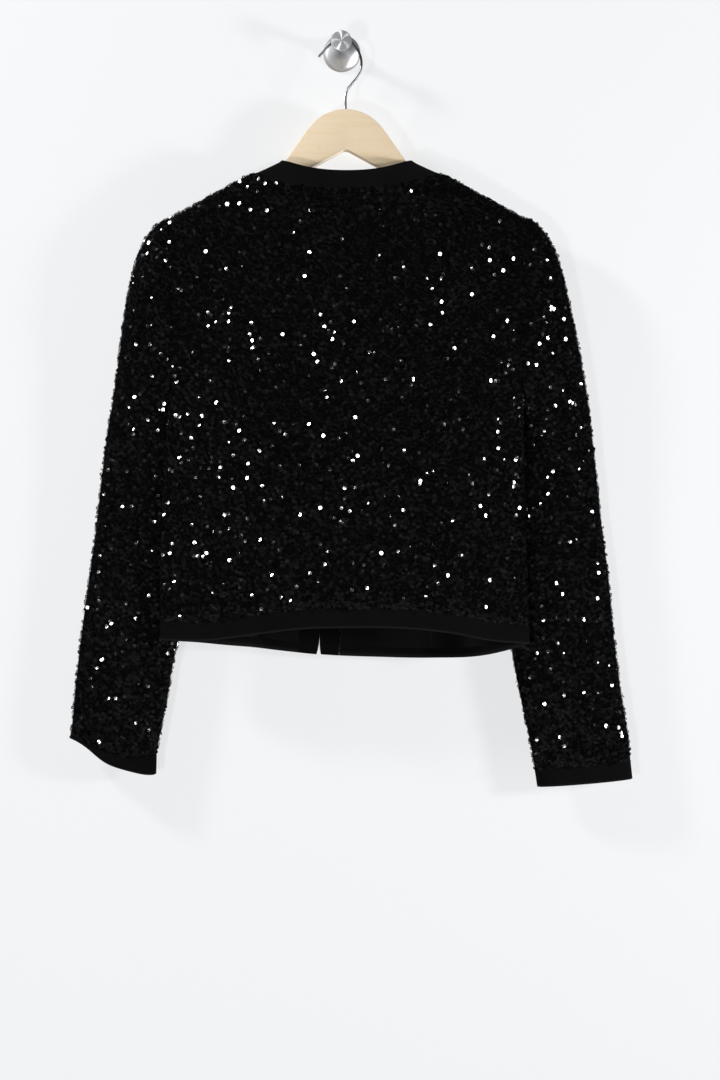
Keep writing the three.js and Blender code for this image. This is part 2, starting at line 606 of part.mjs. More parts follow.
// The first row of a half follows the armhole, just outside the edge of the body
function armholeRow(direction, away, inset) {
  const top = shoulderLine(edgeAt(direction, SHOULDER_POINT_Z));
  return sleeveShares.map(({ place }) => {
    const z = lerp(top, UNDERARM_Z, place);
    const x = edgeAt(direction, z);
    const depth = bodyDepth(away < 0 ? "back" : "front", x, z);
    const fold = place < 0.001 || place > 0.999;
    const y = fold ? edgeMiddleY(z) + away * HALF_GAP : depth - away * inset;
    return new THREE.Vector3(x + direction * SEAM_GAP, y, lerp(top - inset, UNDERARM_Z + inset, place));
  });
}

function sleeveHalf(rows, direction, away) {
  const sections = sleeveSections(rows);
  const wall = (inset) => [
    armholeRow(direction, away, inset),
    ...sections.map((section) => sleeveHalfRow(section, away, inset)),
  ];
  return wallGeometry(wall(0), wall(CLOTH_WALL));
}

const CUFF_ROW = 30; // past every slack ring

function cuff(rows, end) {
  const seam = rows[rows.length - 1];
  const length = Math.hypot(end.oz - seam.oz, end.ox - seam.ox);
  const sections = [0, 0.5, 1].map((share) => {
    const t = lerp(SEAM_GAP / length, 1, share);
    const sag = (place) => (rows === LEFT_SLEEVE ? lerp(seamSag(place), endSag(place), t) : 0);
    return { sag, ...Object.fromEntries(SLEEVE_KEYS.map((key) => [key, lerp(seam[key], end[key], t)])) };
  });
  const ring = (section, inset) => {
    const back = sleeveHalfRow({ ...section, at: CUFF_ROW }, -1, inset);
    const front = sleeveHalfRow({ ...section, at: CUFF_ROW }, 1, inset);
    return [...back, ...front.reverse()];
  };
  const swell = 0.4;
  const outer = sections.map((section) => ring(section, -swell));
  const inner = sections.map((section) => ring(section, BAND_WALL - swell));
  return wallGeometry(outer, inner, true);
}

// Hanger: a flat board with a crown, two arms and rounded tips, bored for the wire
function hangerOutline() {
  const shape = new THREE.Shape();
  const armTop = (out) => NECK_POINT_Z - ARM_CLEARANCE - SHOULDER_SLOPE * (out - NECK_HALF);
  const armUnder = (out) => NOTCH_Z - ARM_SLOPE * out;
  const tipTop = armTop(ARM_HALF - 4);
  const crownCurve = new THREE.SplineCurve(CROWN.map(({ out, z }) => new THREE.Vector2(out, z)));
  const crown = crownCurve.getSpacedPoints(CROWN_STEPS);
  shape.moveTo(0, CROWN_TOP_Z);
  crown.slice(1).forEach(({ x, y }) => shape.lineTo(x, y));
  shape.lineTo(ARM_HALF - 4, tipTop);
  shape.quadraticCurveTo(TIP_HALF, tipTop - 5, TIP_HALF - 1, tipTop - 13);
  shape.quadraticCurveTo(TIP_HALF - 4, tipTop - 22, ARM_HALF - 12, armUnder(ARM_HALF - 12));
  shape.lineTo(5, armUnder(5));
  shape.quadraticCurveTo(0, NOTCH_Z + 0.5, -5, armUnder(5));
  shape.lineTo(12 - ARM_HALF, armUnder(ARM_HALF - 12));
  shape.quadraticCurveTo(4 - TIP_HALF, tipTop - 22, 1 - TIP_HALF, tipTop - 13);
  shape.quadraticCurveTo(-TIP_HALF, tipTop - 5, 4 - ARM_HALF, tipTop);
  crown.slice(1).reverse().forEach(({ x, y }) => shape.lineTo(-x, y));
  return shape;
}

const wasm = await Module();
wasm.setup();

function toManifold(geometry) {
  const bare = geometry.clone();
  bare.deleteAttribute("normal");
  bare.deleteAttribute("uv");
  const merged = BufferGeometryUtils.mergeVertices(bare, 1e-4);
  return new wasm.Manifold(new wasm.Mesh({
    numProp: 3,
    vertProperties: Float32Array.from(merged.attributes.position.array),
    triVerts: Uint32Array.from(merged.index.array),
  }));
}

function fromManifold(manifold) {
  const mesh = manifold.getMesh();
  const geometry = new THREE.BufferGeometry();
  geometry.setAttribute("position", new THREE.Float32BufferAttribute(mesh.vertProperties, 3));
  geometry.setIndex(Array.from(mesh.triVerts));
  geometry.computeVertexNormals();
  return geometry;
}

function hangerBoard() {
  const edge = 1.5;
  const board = new THREE.ExtrudeGeometry(hangerOutline(), {
    depth: HANGER_BOARD - 2 * edge, bevelEnabled: true, bevelThickness: edge, bevelSize: edge,
    bevelOffset: -edge, bevelSegments: 2, curveSegments: 7,
  });
  board.rotateX(Math.PI / 2);
  board.translate(HANGER_X, HANGER_Y + HANGER_BOARD / 2 - edge, 0);
  const hole = new THREE.CylinderGeometry(WIRE_HOLE_RADIUS, WIRE_HOLE_RADIUS, 2 * WIRE_HOLE_DEPTH, 16);
  hole.rotateX(Math.PI / 2);
  hole.translate(HANGER_X, HANGER_Y, CROWN_TOP_Z);
  return fromManifold(toManifold(board).subtract(toManifold(hole)));
}

// Wire hook: a straight shank in the crown, an offset neck and an open round hook over the knob's stem
function hangerHook() {
  const top = STEM_RADIUS + SEAM_GAP + WIRE_RADIUS;
  const route = [
    [HANGER_X, CROWN_TOP_Z - WIRE_HOLE_DEPTH + SEAM_GAP], [HANGER_X, CROWN_TOP_Z], [HANGER_X, -58],
    [6.4, -50.8], [9.6, -46.4], [13.6, -41.4], [17.8, -36.2], [21.0, -29.6], [22.3, -21.4], [20.9, -12.6],
    [16.4, -4.2], [9.2, top - 2.6], [0, top], [-8.4, top - 2.4], [-14.2, -1.8], [-19.8, -8], [-25.4, -14],
  ];
  const places = route.map(([x, z]) => new THREE.Vector3(x, HANGER_Y, z));
  const path = new THREE.CatmullRomCurve3(places, false, "centripetal");
  const section = new THREE.Shape(evenShares(WIRE_SIDES).slice(0, -1).map((share) => (
    new THREE.Vector2(WIRE_RADIUS, 0).rotateAround(new THREE.Vector2(), 2 * Math.PI * share)
  )));
  return new THREE.ExtrudeGeometry(section, { steps: WIRE_STEPS, extrudePath: path, bevelEnabled: false });
}

// Wall knob: a thin-rimmed foot, a concave trumpet down to the stem and a flat round head
function wallKnob() {
  const flareStart = FOOT_RIM + 0.8;
  const stemStart = 27;
  const stemEnd = 36;
  const points = [
    new THREE.Vector2(0, 0), new THREE.Vector2(FOOT_RADIUS, 0), new THREE.Vector2(FOOT_RADIUS, FOOT_RIM),
  ];
  for (const share of evenShares(9)) {
    const radius = STEM_RADIUS + (FOOT_RADIUS - 1 - STEM_RADIUS) * (1 - share) ** 2.6;
    points.push(new THREE.Vector2(radius, lerp(flareStart, stemStart, share)));
  }
  points.push(new THREE.Vector2(STEM_RADIUS, stemEnd));
  points.push(new THREE.Vector2(STEM_RADIUS + 1.4, stemEnd + 2.6));
  points.push(new THREE.Vector2(STEM_RADIUS + 4, stemEnd + 5));
  points.push(new THREE.Vector2(HEAD_RADIUS - 0.5, stemEnd + 6.6));
  points.push(new THREE.Vector2(HEAD_RADIUS, stemEnd + 7.4));
  points.push(new THREE.Vector2(HEAD_RADIUS, KNOB_LENGTH - 0.8));
  points.push(new THREE.Vector2(HEAD_RADIUS - 0.8, KNOB_LENGTH));
  points.push(new THREE.Vector2(0, KNOB_LENGTH));
  const knob = new THREE.LatheGeometry(points, KNOB_SIDES);
  knob.rotateX(Math.PI);
  return knob;
}

const object = new THREE.Group();

function add(name, geometry, material) {
  const mesh = new THREE.Mesh(geometry, material);
  mesh.name = name;
  object.add(mesh);
}

add("back", backPanel(), BLACK_SEQUIN);
add("back_neck_band", neckBand("back", BACK_NECK_SHARES), BLACK_VELVET);
add("back_hem_band", backHemBand(), BLACK_VELVET);
add("back_lining", lining("back", BACK_TOPS, leftEdge, rightEdge, backHem), GREY_SATIN);

const SIDES = [
  { name: "left", direction: -1, sleeve: LEFT_SLEEVE, cuffEnd: LEFT_CUFF_END },
  { name: "right", direction: 1, sleeve: RIGHT_SLEEVE, cuffEnd: RIGHT_CUFF_END },
];
for (const { name, direction, sleeve, cuffEnd } of SIDES) {
  add(`${name}_front`, frontPanel(direction), BLACK_SEQUIN);
  add(`${name}_front_band`, frontBand(direction), BLACK_VELVET);
  add(`${name}_neck_band`, frontNeckBand(direction), BLACK_VELVET);
  add(`${name}_hem_band`, frontHemBand(direction), BLACK_VELVET);
  add(`${name}_front_lining`, frontLining(direction), GREY_SATIN);
  add(`${name}_back_sleeve`, sleeveHalf(sleeve, direction, -1), BLACK_SEQUIN);
  add(`${name}_front_sleeve`, sleeveHalf(sleeve, direction, 1), BLACK_SEQUIN);
  add(`${name}_cuff`, cuff(sleeve, cuffEnd), BLACK_VELVET);
}

add("hanger_board", hangerBoard(), PALE_WOOD);
add("hanger_hook", hangerHook(), STEEL_WIRE);
add("wall_knob", wallKnob(), BRUSHED_STEEL);

export default object;
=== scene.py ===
"""Cropped black sequin jacket with velvet bands, hung on a wooden hanger from a steel wall knob.

Sizes in the classes are in millimetres, in the frame of the solids: X to the right, Y into the wall, Z up.
"""
import logging
import math
from dataclasses import dataclass, field
from enum import Enum

import bmesh
import bpy
import numpy as np
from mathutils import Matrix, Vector


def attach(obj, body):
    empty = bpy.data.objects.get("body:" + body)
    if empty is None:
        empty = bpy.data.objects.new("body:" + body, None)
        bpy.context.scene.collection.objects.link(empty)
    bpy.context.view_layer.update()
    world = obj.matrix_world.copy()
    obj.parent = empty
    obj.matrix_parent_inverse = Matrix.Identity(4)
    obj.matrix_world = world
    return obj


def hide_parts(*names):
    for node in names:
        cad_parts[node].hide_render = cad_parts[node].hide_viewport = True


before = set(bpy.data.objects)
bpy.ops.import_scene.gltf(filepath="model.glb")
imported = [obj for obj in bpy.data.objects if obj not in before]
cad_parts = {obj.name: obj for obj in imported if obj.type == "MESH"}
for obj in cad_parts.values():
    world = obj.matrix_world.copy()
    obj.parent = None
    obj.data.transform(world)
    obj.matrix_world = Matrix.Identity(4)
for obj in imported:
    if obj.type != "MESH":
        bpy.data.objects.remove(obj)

LOG = logging.getLogger("jacket")
MM = 0.001
NEARLY_ZERO = 1e-6  # a direction shorter than this points nowhere
SMALLEST_AREA = 1e-12  # square metres, which keeps a division away from zero
SAME_PLACE = 1e-5  # metres: points nearer to each other than this are merged
WAVE_LENGTH = 2 * math.pi / 20  # between two bands of a wave texture whose scale is one
NOISE_SPAN = (0.35, 0.7)  # where nearly all of a noise's values lie
QUAD_BEND = math.radians(40)  # most bend between two triangles that are joined in a quad
QUAD_SKEW = math.radians(60)  # most that such a quad's corners are off square
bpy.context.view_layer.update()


# Helpers


def linear(colour: str) -> tuple[float, float, float, float]:
    """Turns an sRGB hex colour into linear values.

    Args:
        colour: the colour as "#rrggbb".

    Returns:
        Red, green and blue in linear light, and an alpha of one.
    """
    values = [int(colour[i : i + 2], 16) / 255 for i in (1, 3, 5)]
    return (*(v / 12.92 if v <= 0.04045 else ((v + 0.055) / 1.055) ** 2.4 for v in values), 1.0)


def per_metre(size: float) -> float:
    """Gives the texture scale whose features are about size millimetres across."""
    return 1000.0 / size


def add_node(
    tree: bpy.types.NodeTree, kind: str, settings: dict[str, object], links: dict[str, bpy.types.NodeSocket]
) -> bpy.types.Node:
    """Adds a node, sets it and links its inputs.

    Args:
        tree: the material's node tree.
        kind: the node's type name.
        settings: values by input name, or by property name where the node has no such input.
        links: output sockets by the input name they feed.

    Returns:
        The new node.
    """
    node = tree.nodes.new(kind)
    for name, value in settings.items():
        if name in node.inputs:
            node.inputs[name].default_value = value
        else:
            setattr(node, name, value)
    for name, socket in links.items():
        tree.links.new(socket, node.inputs[name])
    return node


def ramp(
    tree: bpy.types.NodeTree, factor: bpy.types.NodeSocket, low: str, high: str, start: float, end: float
) -> bpy.types.NodeSocket:
    """Blends two colours by a factor.

    Args:
        tree: the material's node tree.
        factor: the socket that drives the blend.
        low: hex colour at start.
        high: hex colour at end.
        start: the factor at which the blend begins.
        end: the factor at which it ends.

    Returns:
        The blended colour.
    """
    node = add_node(tree, "ShaderNodeValToRGB", {}, {"Fac": factor})
    for stop, position, colour in zip(node.color_ramp.elements, (start, end), (low, high)):
        stop.position = position
        stop.color = linear(colour)
    return node.outputs["Color"]


def select_only(obj: bpy.types.Object) -> None:
    """Deselects everything and makes one object the selected, active one.

    Args:
        obj: the object.
    """
    if bpy.context.mode != "OBJECT":
        bpy.ops.object.mode_set(mode="OBJECT")
    bpy.ops.object.select_all(action="DESELECT")
    obj.select_set(True)
    bpy.context.view_layer.objects.active = obj


def apply_modifier(obj: bpy.types.Object, kind: str, settings: dict[str, object]) -> None:
    """Adds a modifier to obj and applies it.

    Args:
        obj: the piece.
        kind: the modifier's type name.
        settings: its properties by name.
    """
    select_only(obj)
    modifier = obj.modifiers.new(kind.title(), kind)
    for name, value in settings.items():
        setattr(modifier, name, value)
    bpy.ops.object.modifier_apply(modifier=modifier.name)


def copy_of_node(node: str, name: str) -> bpy.types.Object:
    """Copies a solid's mesh into a new object and merges its loose triangles into quads.

    Args:
        node: the solid's name.
        name: the new object's name.

    Returns:
        The new object, at the origin.
    """
    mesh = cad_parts[node].data.copy()
    mesh.name = name
    mesh.materials.clear()
    obj = object_of(mesh, name)
    select_only(obj)
    if mesh.has_custom_normals:
        bpy.ops.mesh.customdata_custom_splitnormals_clear()
    bpy.ops.object.mode_set(mode="EDIT")
    bpy.ops.mesh.select_all(action="SELECT")
    bpy.ops.mesh.remove_doubles(threshold=SAME_PLACE)
    bpy.ops.mesh.tris_convert_to_quads(face_threshold=QUAD_BEND, shape_threshold=QUAD_SKEW)
    bpy.ops.object.mode_set(mode="OBJECT")
    return obj


def object_of(data: bpy.types.ID, name: str) -> bpy.types.Object:
    """Puts a mesh, a lamp or a camera in the scene, at the origin.

    Args:
        data: the mesh, lamp or camera.
        name: the new object's name.

    Returns:
        The new object.
    """
    obj = bpy.data.objects.new(name, data)
    bpy.context.scene.collection.objects.link(obj)
    return obj


def read_rows(items: bpy.types.bpy_prop_collection, name: str, kind: type = float) -> np.ndarray:
    """Reads a property of three values from each item of a mesh.

    Args:
        items: the mesh's points or triangles.
        name: the property's name.
        kind: the type of its values.

    Returns:
        The values, one item a row.
    """
    rows = np.empty(len(items) * 3, kind)
    items.foreach_get(name, rows)
    return rows.reshape(-1, 3)


def quad_mesh(name: str, points: np.ndarray, quads: np.ndarray) -> bpy.types.Mesh:
    """Builds a mesh of four-sided faces.

    Args:
        name: the mesh's name.
        points: the points in metres, one a row.
        quads: the four points of each face, one face a row.

    Returns:
        The new mesh.
    """
    mesh = bpy.data.meshes.new(name)
    mesh.vertices.add(len(points))
    mesh.vertices.foreach_set("co", points.astype(np.float32).ravel())
    mesh.loops.add(quads.size)
    mesh.loops.foreach_set("vertex_index", quads.astype(np.int32).ravel())
    mesh.polygons.add(len(quads))
    mesh.polygons.foreach_set("loop_start", np.arange(0, quads.size, 4, dtype=np.int32))
    mesh.update(calc_edges=True)
    mesh.validate()
    return mesh


def mark_points(mesh: bpy.types.Mesh, name: str, values: np.ndarray) -> None:
    """Stores one value for each point of a mesh, in an attribute that a finish reads."""
    mesh.attributes.new(name, "FLOAT", "POINT").data.foreach_set("value", values.astype(np.float32))


# Finishes


class Slot(Enum):
    """The material slots that the finishes carry."""

    SEQUINS = "sequin_cloth"
    VELVET = "velvet"
    LINING = "satin_lining"
    WOOD = "pale_wood"
    WIRE = "steel_wire"
    STEEL = "brushed_steel"


@dataclass(frozen=True)
class Finish:
    """A named surface finish. Each kind builds its own nodes once."""

    name: str
    slot: Slot | None = None

    def material(self) -> bpy.types.Material:
        """Gives the finish's material, built on first use.

        Returns:
            The material.
        """
        found = bpy.data.materials.get(self.name)
        if found:
            return found
        made = bpy.data.materials.new(self.name)
        made.use_nodes = True
        made.node_tree.nodes.clear()
        shader = self.shade(made.node_tree)
        add_node(made.node_tree, "ShaderNodeOutputMaterial", {}, {"Surface": shader})
        return made

    def shade(self, tree: bpy.types.NodeTree) -> bpy.types.NodeSocket:
        """Builds the finish's nodes.

        Args:
            tree: the material's empty node tree.

        Returns:
            The shader's output.
        """
        raise NotImplementedError


@dataclass(frozen=True)
class CottonVelvet(Finish):
    """Woven cotton velvet: the cut pile swallows light face on; the thin grey line at its folds is painted
    sheen.
    """

    dark: str = "#030303"
    brushed: str = "#060607"
    painted_fold_sheen: str = "#1c1c1f"  # painted sheen: a lighter colour along the lower folds, where the velvet would catch light
    pile: float = 2.4  # the real pile is 0.5 mm, drawn coarser so that it shows
    patch: float = 26.0  # where the pile lies another way
    bloom: float = 0.014  # the light that the pile's tips catch from aside
    bloom_colour: str = "#8a8a92"

    def shade(self, tree: bpy.types.NodeTree) -> bpy.types.NodeSocket:
        """Builds the finish's nodes.

        Args:
            tree: the material's empty node tree.

        Returns:
            The shader's output.
        """
        place = add_node(tree, "ShaderNodeTexCoord", {}, {}).outputs["Object"]
        patches = add_node(
            tree, "ShaderNodeTexNoise", {"Scale": per_metre(self.patch), "Detail": 3.0}, {"Vector": place}
        )
        pile = add_node(
            tree, "ShaderNodeTexNoise", {"Scale": per_metre(self.pile), "Detail": 2.0}, {"Vector": place}
        )
        bump = add_node(
            tree, "ShaderNodeBump", {"Strength": 0.5, "Distance": 0.4 * MM}, {"Height": pile.outputs["Fac"]}
        )
        lying = ramp(tree, patches.outputs["Fac"], self.dark, self.brushed, *NOISE_SPAN)
        # painted sheen: the marked lower folds get the lighter colour
        fold_sheen_mask = add_node(tree, "ShaderNodeAttribute", {"attribute_name": "fold_sheen_mask"}, {}).outputs["Fac"]
        colour = add_node(
            tree, "ShaderNodeMixRGB", {"Color2": linear(self.painted_fold_sheen)}, {"Fac": fold_sheen_mask, "Color1": lying}
        ).outputs["Color"]
        shader = add_node(
            tree,
            "ShaderNodeBsdfPrincipled",
            {
                "Roughness": 0.95,
                "Specular IOR Level": 0.12,
                "Sheen Weight": self.bloom,
                "Sheen Roughness": 0.45,
                "Sheen Tint": linear(self.bloom_colour),
            },
            {"Base Color": colour, "Normal": bump.outputs["Normal"]},
        )
        return shader.outputs["BSDF"]


@dataclass(frozen=True)
class SequinGround(Finish):
    """Knitted polyester backing under the sequins: dull black, only seen as gaps between the discs."""

    colour: str = "#020203"
    loop: float = 1.6  # the real loops are 0.8 mm, drawn coarser so that they show

    def shade(self, tree: bpy.types.NodeTree) -> bpy.types.NodeSocket:
        """Builds the finish's nodes.

        Args:
            tree: the material's empty node tree.

        Returns:
            The shader's output.
        """
        place = add_node(tree, "ShaderNodeTexCoord", {}, {}).outputs["Object"]
        loops = add_node(tree, "ShaderNodeTexVoronoi", {"Scale": per_metre(self.loop)}, {"Vector": place})
        bump = add_node(
            tree,
            "ShaderNodeBump",
            {"Strength": 0.6, "Distance": 0.3 * MM},
            {"Height": loops.outputs["Distance"]},
        )
        shader = add_node(
            tree,
            "ShaderNodeBsdfPrincipled",
            {"Base Color": linear(self.colour), "Roughness": 0.9, "Specular IOR Level": 0.2},
            {"Normal": bump.outputs["Normal"]},
        )
        return shader.outputs["BSDF"]


@dataclass(frozen=True)
class SequinFilm(Finish):
    """Punched black PET film: a mirror-smooth plastic face, black until it tips a lamp into the eye."""

    dark: str = "#020203"
    light: str = "#08080a"
    smooth: float = 0.05  # roughness of an untouched sequin
    worn: float = 0.14  # roughness of a rubbed one

    def shade(self, tree: bpy.types.NodeTree) -> bpy.types.NodeSocket:
        """Builds the finish's nodes.

        Args:
            tree: the material's empty node tree.

        Returns:
            The shader's output.
        """
        shade = add_node(tree, "ShaderNodeAttribute", {"attribute_name": "shade"}, {}).outputs["Fac"]
        colour = ramp(tree, shade, self.dark, self.light, 0.0, 1.0)
        rough = add_node(
            tree, "ShaderNodeMapRange", {"To Min": self.smooth, "To Max": self.worn}, {"Value": shade}
        )
        shader = add_node(
            tree,
            "ShaderNodeBsdfPrincipled",
            {"IOR": 1.6, "Specular IOR Level": 0.42},
            {"Base Color": colour, "Roughness": rough.outputs["Result"]},
        )
        return shader.outputs["BSDF"]


@dataclass(frozen=True)
class SatinLining(Finish):
    """Woven acetate satin: a soft, dark grey shine with a faint cross thread."""

    colour: str = "#020203"
    light: str = "#030304"
    thread: float = 2.4  # the real threads are 0.15 mm apart, drawn coarser so that they show
    patch: float = 60.0  # where the cloth has faded a little

    def shade(self, tree: bpy.types.NodeTree) -> bpy.types.NodeSocket:
        """Builds the finish's nodes.

        Args:
            tree: the material's empty node tree.

        Returns:
            The shader's output.
        """
        place = add_node(tree, "ShaderNodeTexCoord", {}, {}).outputs["Object"]
        patches = add_node(tree, "ShaderNodeTexNoise", {"Scale": per_metre(self.patch)}, {"Vector": place})
        threads = add_node(
            tree,
            "ShaderNodeTexWave",
            {
                "bands_direction": "Z",
                "Scale": WAVE_LENGTH * per_metre(self.thread),
                "Distortion": 0.4,
            },
            {"Vector": place},
        )
        bump = add_node(
            tree,
            "ShaderNodeBump",
            {"Strength": 0.25, "Distance": 0.1 * MM},
            {"Height": threads.outputs["Fac"]},
        )
        colour = ramp(tree, patches.outputs["Fac"], self.colour, self.light, *NOISE_SPAN)
        shader = add_node(
            tree,
            "ShaderNodeBsdfPrincipled",
            {"Roughness": 0.5, "Specular IOR Level": 0.055, "Anisotropic": 0.35},
            {"Base Color": colour, "Normal": bump.outputs["Normal"]},
        )
        return shader.outputs["BSDF"]


@dataclass(frozen=True)
class VarnishedBeech(Finish):
    """Sawn beech under clear satin varnish: pale straw with faint long grain and short darker pores."""

    pale: str = "#f3dec0"
    grain: str = "#efd8b4"
    pore: str = "#e3c9a0"
    ring_width: float = 5.0
    ring_length: float = 130.0
    pore_width: float = 0.9  # the real pores are 0.2 mm wide, drawn coarser so that they show
    pore_length: float = 7.0
    pore_span: tuple[float, float] = (0.62, 0.72)  # noise that starts a pore, and noise that fills it

    def shade(self, tree: bpy.types.NodeTree) -> bpy.types.NodeSocket:
        """Builds the finish's nodes.

        Args:
            tree: the material's empty node tree.

        Returns:
            The shader's output.
        """
        place = add_node(tree, "ShaderNodeTexCoord", {}, {}).outputs["Object"]
        rings = self.streaks(tree, place, self.ring_length, self.ring_width)
        pores = self.streaks(tree, place, self.pore_length, self.pore_width)
        base = ramp(tree, rings, self.pale, self.grain, *NOISE_SPAN)
        mask = ramp(tree, pores, "#000000", "#ffffff", *self.pore_span)
        mixed = add_node(
            tree, "ShaderNodeMixRGB", {"Color2": linear(self.pore)}, {"Fac": mask, "Color1": base}
        )
        bump = add_node(
            tree,
            "ShaderNodeBump",
            {"Strength": 0.1, "Distance": 0.1 * MM, "invert": True},
            {"Height": pores},
        )
        shader = add_node(
            tree,
            "ShaderNodeBsdfPrincipled",
            {"Roughness": 0.55, "Coat Weight": 0.1, "Coat Roughness": 0.4},
            {"Base Color": mixed.outputs["Color"], "Normal": bump.outputs["Normal"]},
        )
        return shader.outputs["BSDF"]

    def streaks(
        self, tree: bpy.types.NodeTree, place: bpy.types.NodeSocket, length: float, width: float
    ) -> bpy.types.NodeSocket:
        """Draws noise stretched along the board.

        Args:
            tree: the material's node tree.
            place: the object coordinates.
            length: a streak's length, along X.
            width: its width, across the board.

        Returns:
            The noise's value.
        """
        scale = Vector((per_metre(length), per_metre(width), per_metre(width)))
        mapped = add_node(tree, "ShaderNodeMapping", {"Scale": scale}, {"Vector": place})
        noise = add_node(
            tree, "ShaderNodeTexNoise", {"Scale": 1.0, "Detail": 3.0}, {"Vector": mapped.outputs["Vector"]}
        )
        return noise.outputs["Fac"]


@dataclass(frozen=True)
class TurnedSteel(Finish):
    """Lathe-brushed stainless steel: rings about the axis draw each lamp out to a bright spoke on grey."""

    colour: str = "#e4e5e6"
    ring: float = 0.7  # the real marks are 0.1 mm, drawn coarser so that they show
    spoke: float = 0.46  # roughness of the rings, which is what the spokes come from
    ground: float = 0.75  # roughness of the dull steel between them
    ring_share: float = 0.5  # share of the light that the rings reflect

    def shade(self, tree: bpy.types.NodeTree) -> bpy.types.NodeSocket:
        """Builds the finish's nodes.

        Args:
            tree: the material's empty node tree.

        Returns:
            The shader's output.
        """
        place = add_node(tree, "ShaderNodeTexCoord", {}, {}).outputs["Object"]
        across = add_node(tree, "ShaderNodeMapping", {"Scale": Vector((1.0, 0.0, 1.0))}, {"Vector": place})
        radius = add_node(
            tree, "ShaderNodeVectorMath", {"operation": "LENGTH"}, {"Vector": across.outputs["Vector"]}
        )
        marks = add_node(
            tree,
            "ShaderNodeTexNoise",
            {"noise_dimensions": "1D", "Scale": per_metre(self.ring), "Detail": 2.0},
            {"W": radius.outputs["Value"]},
        )
        bump = add_node(
            tree,
            "ShaderNodeBump",
            {"Strength": 0.08, "Distance": 0.05 * MM},
            {"Height": marks.outputs["Fac"]},
        )
        round_axis = add_node(tree, "ShaderNodeTangent", {"direction_type": "RADIAL", "axis": "Y"}, {})
        metal = {"Base Color": linear(self.colour), "Metallic": 1.0}
        rings = add_node(
            tree,
            "ShaderNodeBsdfPrincipled",
            {**metal, "Roughness": self.spoke, "Anisotropic": 1.0},
            {"Normal": bump.outputs["Normal"], "Tangent": round_axis.outputs["Tangent"]},
        )
        between = add_node(
            tree,
            "ShaderNodeBsdfPrincipled",
            {**metal, "Roughness": self.ground},
            {"Normal": bump.outputs["Normal"]},
        )
        mixed = add_node(tree, "ShaderNodeMixShader", {"Fac": self.ring_share}, {})
        tree.links.new(between.outputs["BSDF"], mixed.inputs[1])
        tree.links.new(rings.outputs["BSDF"], mixed.inputs[2])
        return mixed.outputs["Shader"]


@dataclass(frozen=True)
class DrawnWire(Finish):
    """Cold-drawn steel wire, zinc plated: a bright grey with small dull patches."""

    light: str = "#a2a4a8"
    dull: str = "#85878b"
    patch: float = 3.0
    patch_span: tuple[float, float] = (0.35, 0.65)  # noise of the dullest and of the brightest zinc

    def shade(self, tree: bpy.types.NodeTree) -> bpy.types.NodeSocket:
        """Builds the finish's nodes.

        Args:
            tree: the material's empty node tree.

        Returns:
            The shader's output.
        """
        place = add_node(tree, "ShaderNodeTexCoord", {}, {}).outputs["Object"]
        noise = add_node(tree, "ShaderNodeTexNoise", {"Scale": per_metre(self.patch)}, {"Vector": place})
        colour = ramp(tree, noise.outputs["Fac"], self.dull, self.light, *self.patch_span)
        shader = add_node(
            tree,
            "ShaderNodeBsdfPrincipled",
            {"Metallic": 1.0, "Roughness": 0.38},
            {"Base Color": colour},
        )
        return shader.outputs["BSDF"]


VELVET = CottonVelvet("Woven cotton velvet, black", Slot.VELVET)
GROUND = SequinGround("Knitted polyester backing, black", Slot.SEQUINS)
FILM = SequinFilm("Punched PET film, black", Slot.SEQUINS)
SATIN = SatinLining("Woven acetate satin, dark grey", Slot.LINING)
BEECH = VarnishedBeech("Sawn beech, satin varnish", Slot.WOOD)
KNOB_STEEL = TurnedSteel("Stainless steel, lathe brushed", Slot.STEEL)
WIRE = DrawnWire("Drawn steel wire, zinc plated", Slot.WIRE)


def finish_piece(obj: bpy.types.Object, finish: Finish, replaced: str | None = None) -> None:
    """Dresses a piece and ties it to the object's one body.

    Args:
        obj: the piece.
        finish: its finish.
        replaced: the solid it stands for, if any.
    """
    obj.data.materials.clear()
    obj.data.materials.append(finish.material())
    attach(obj, "root")
    if replaced:
        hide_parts(replaced)
    LOG.info("%s: %d faces", obj.name, len(obj.data.polygons))


# Cloth


class Side(Enum):
    """The two layers of the hanging jacket, by the direction in which each one's outside faces."""

    BACK = -1
    FRONT = 1


@dataclass(frozen=True)
class Crease:
    """A soft ridge of the cloth along a line, or a trough where its height is negative."""

    x: float
    z: float
    x_end: float
    z_end: float
    width: float
    height: float
    fade: float = 2.2  # widths in which it runs out past either end

    def rise(self, x: np.ndarray, z: np.ndarray) -> np.ndarray:
        """Gives how far the crease lifts each point.

        Args:
            x: the points' X, in millimetres.
            z: their Z.

        Returns:
            The lift of each point, in millimetres.
        """
        run = np.array([self.x_end - self.x, self.z_end - self.z])
        length = float(np.hypot(*run))
        along = ((x - self.x) * run[0] + (z - self.z) * run[1]) / length
        aside = ((x - self.x) * run[1] - (z - self.z) * run[0]) / length
        past = np.maximum(np.maximum(-along, along - length), 0.0)
        return self.height * np.exp(-((aside / self.width) ** 2) - (past / (self.fade * self.width)) ** 2)


@dataclass(frozen=True)
class Cut:
    """One cut piece of cloth: its solid, its finish and its flat size."""

    node: str
    side: Side
    finish: Finish
    width: float
    length: float
    area: float  # square metres
    levels: int = 1  # of subdivision
    creased: bool = True
    folded: bool = False  # the lower edge is a fold, which gets a painted sheen line
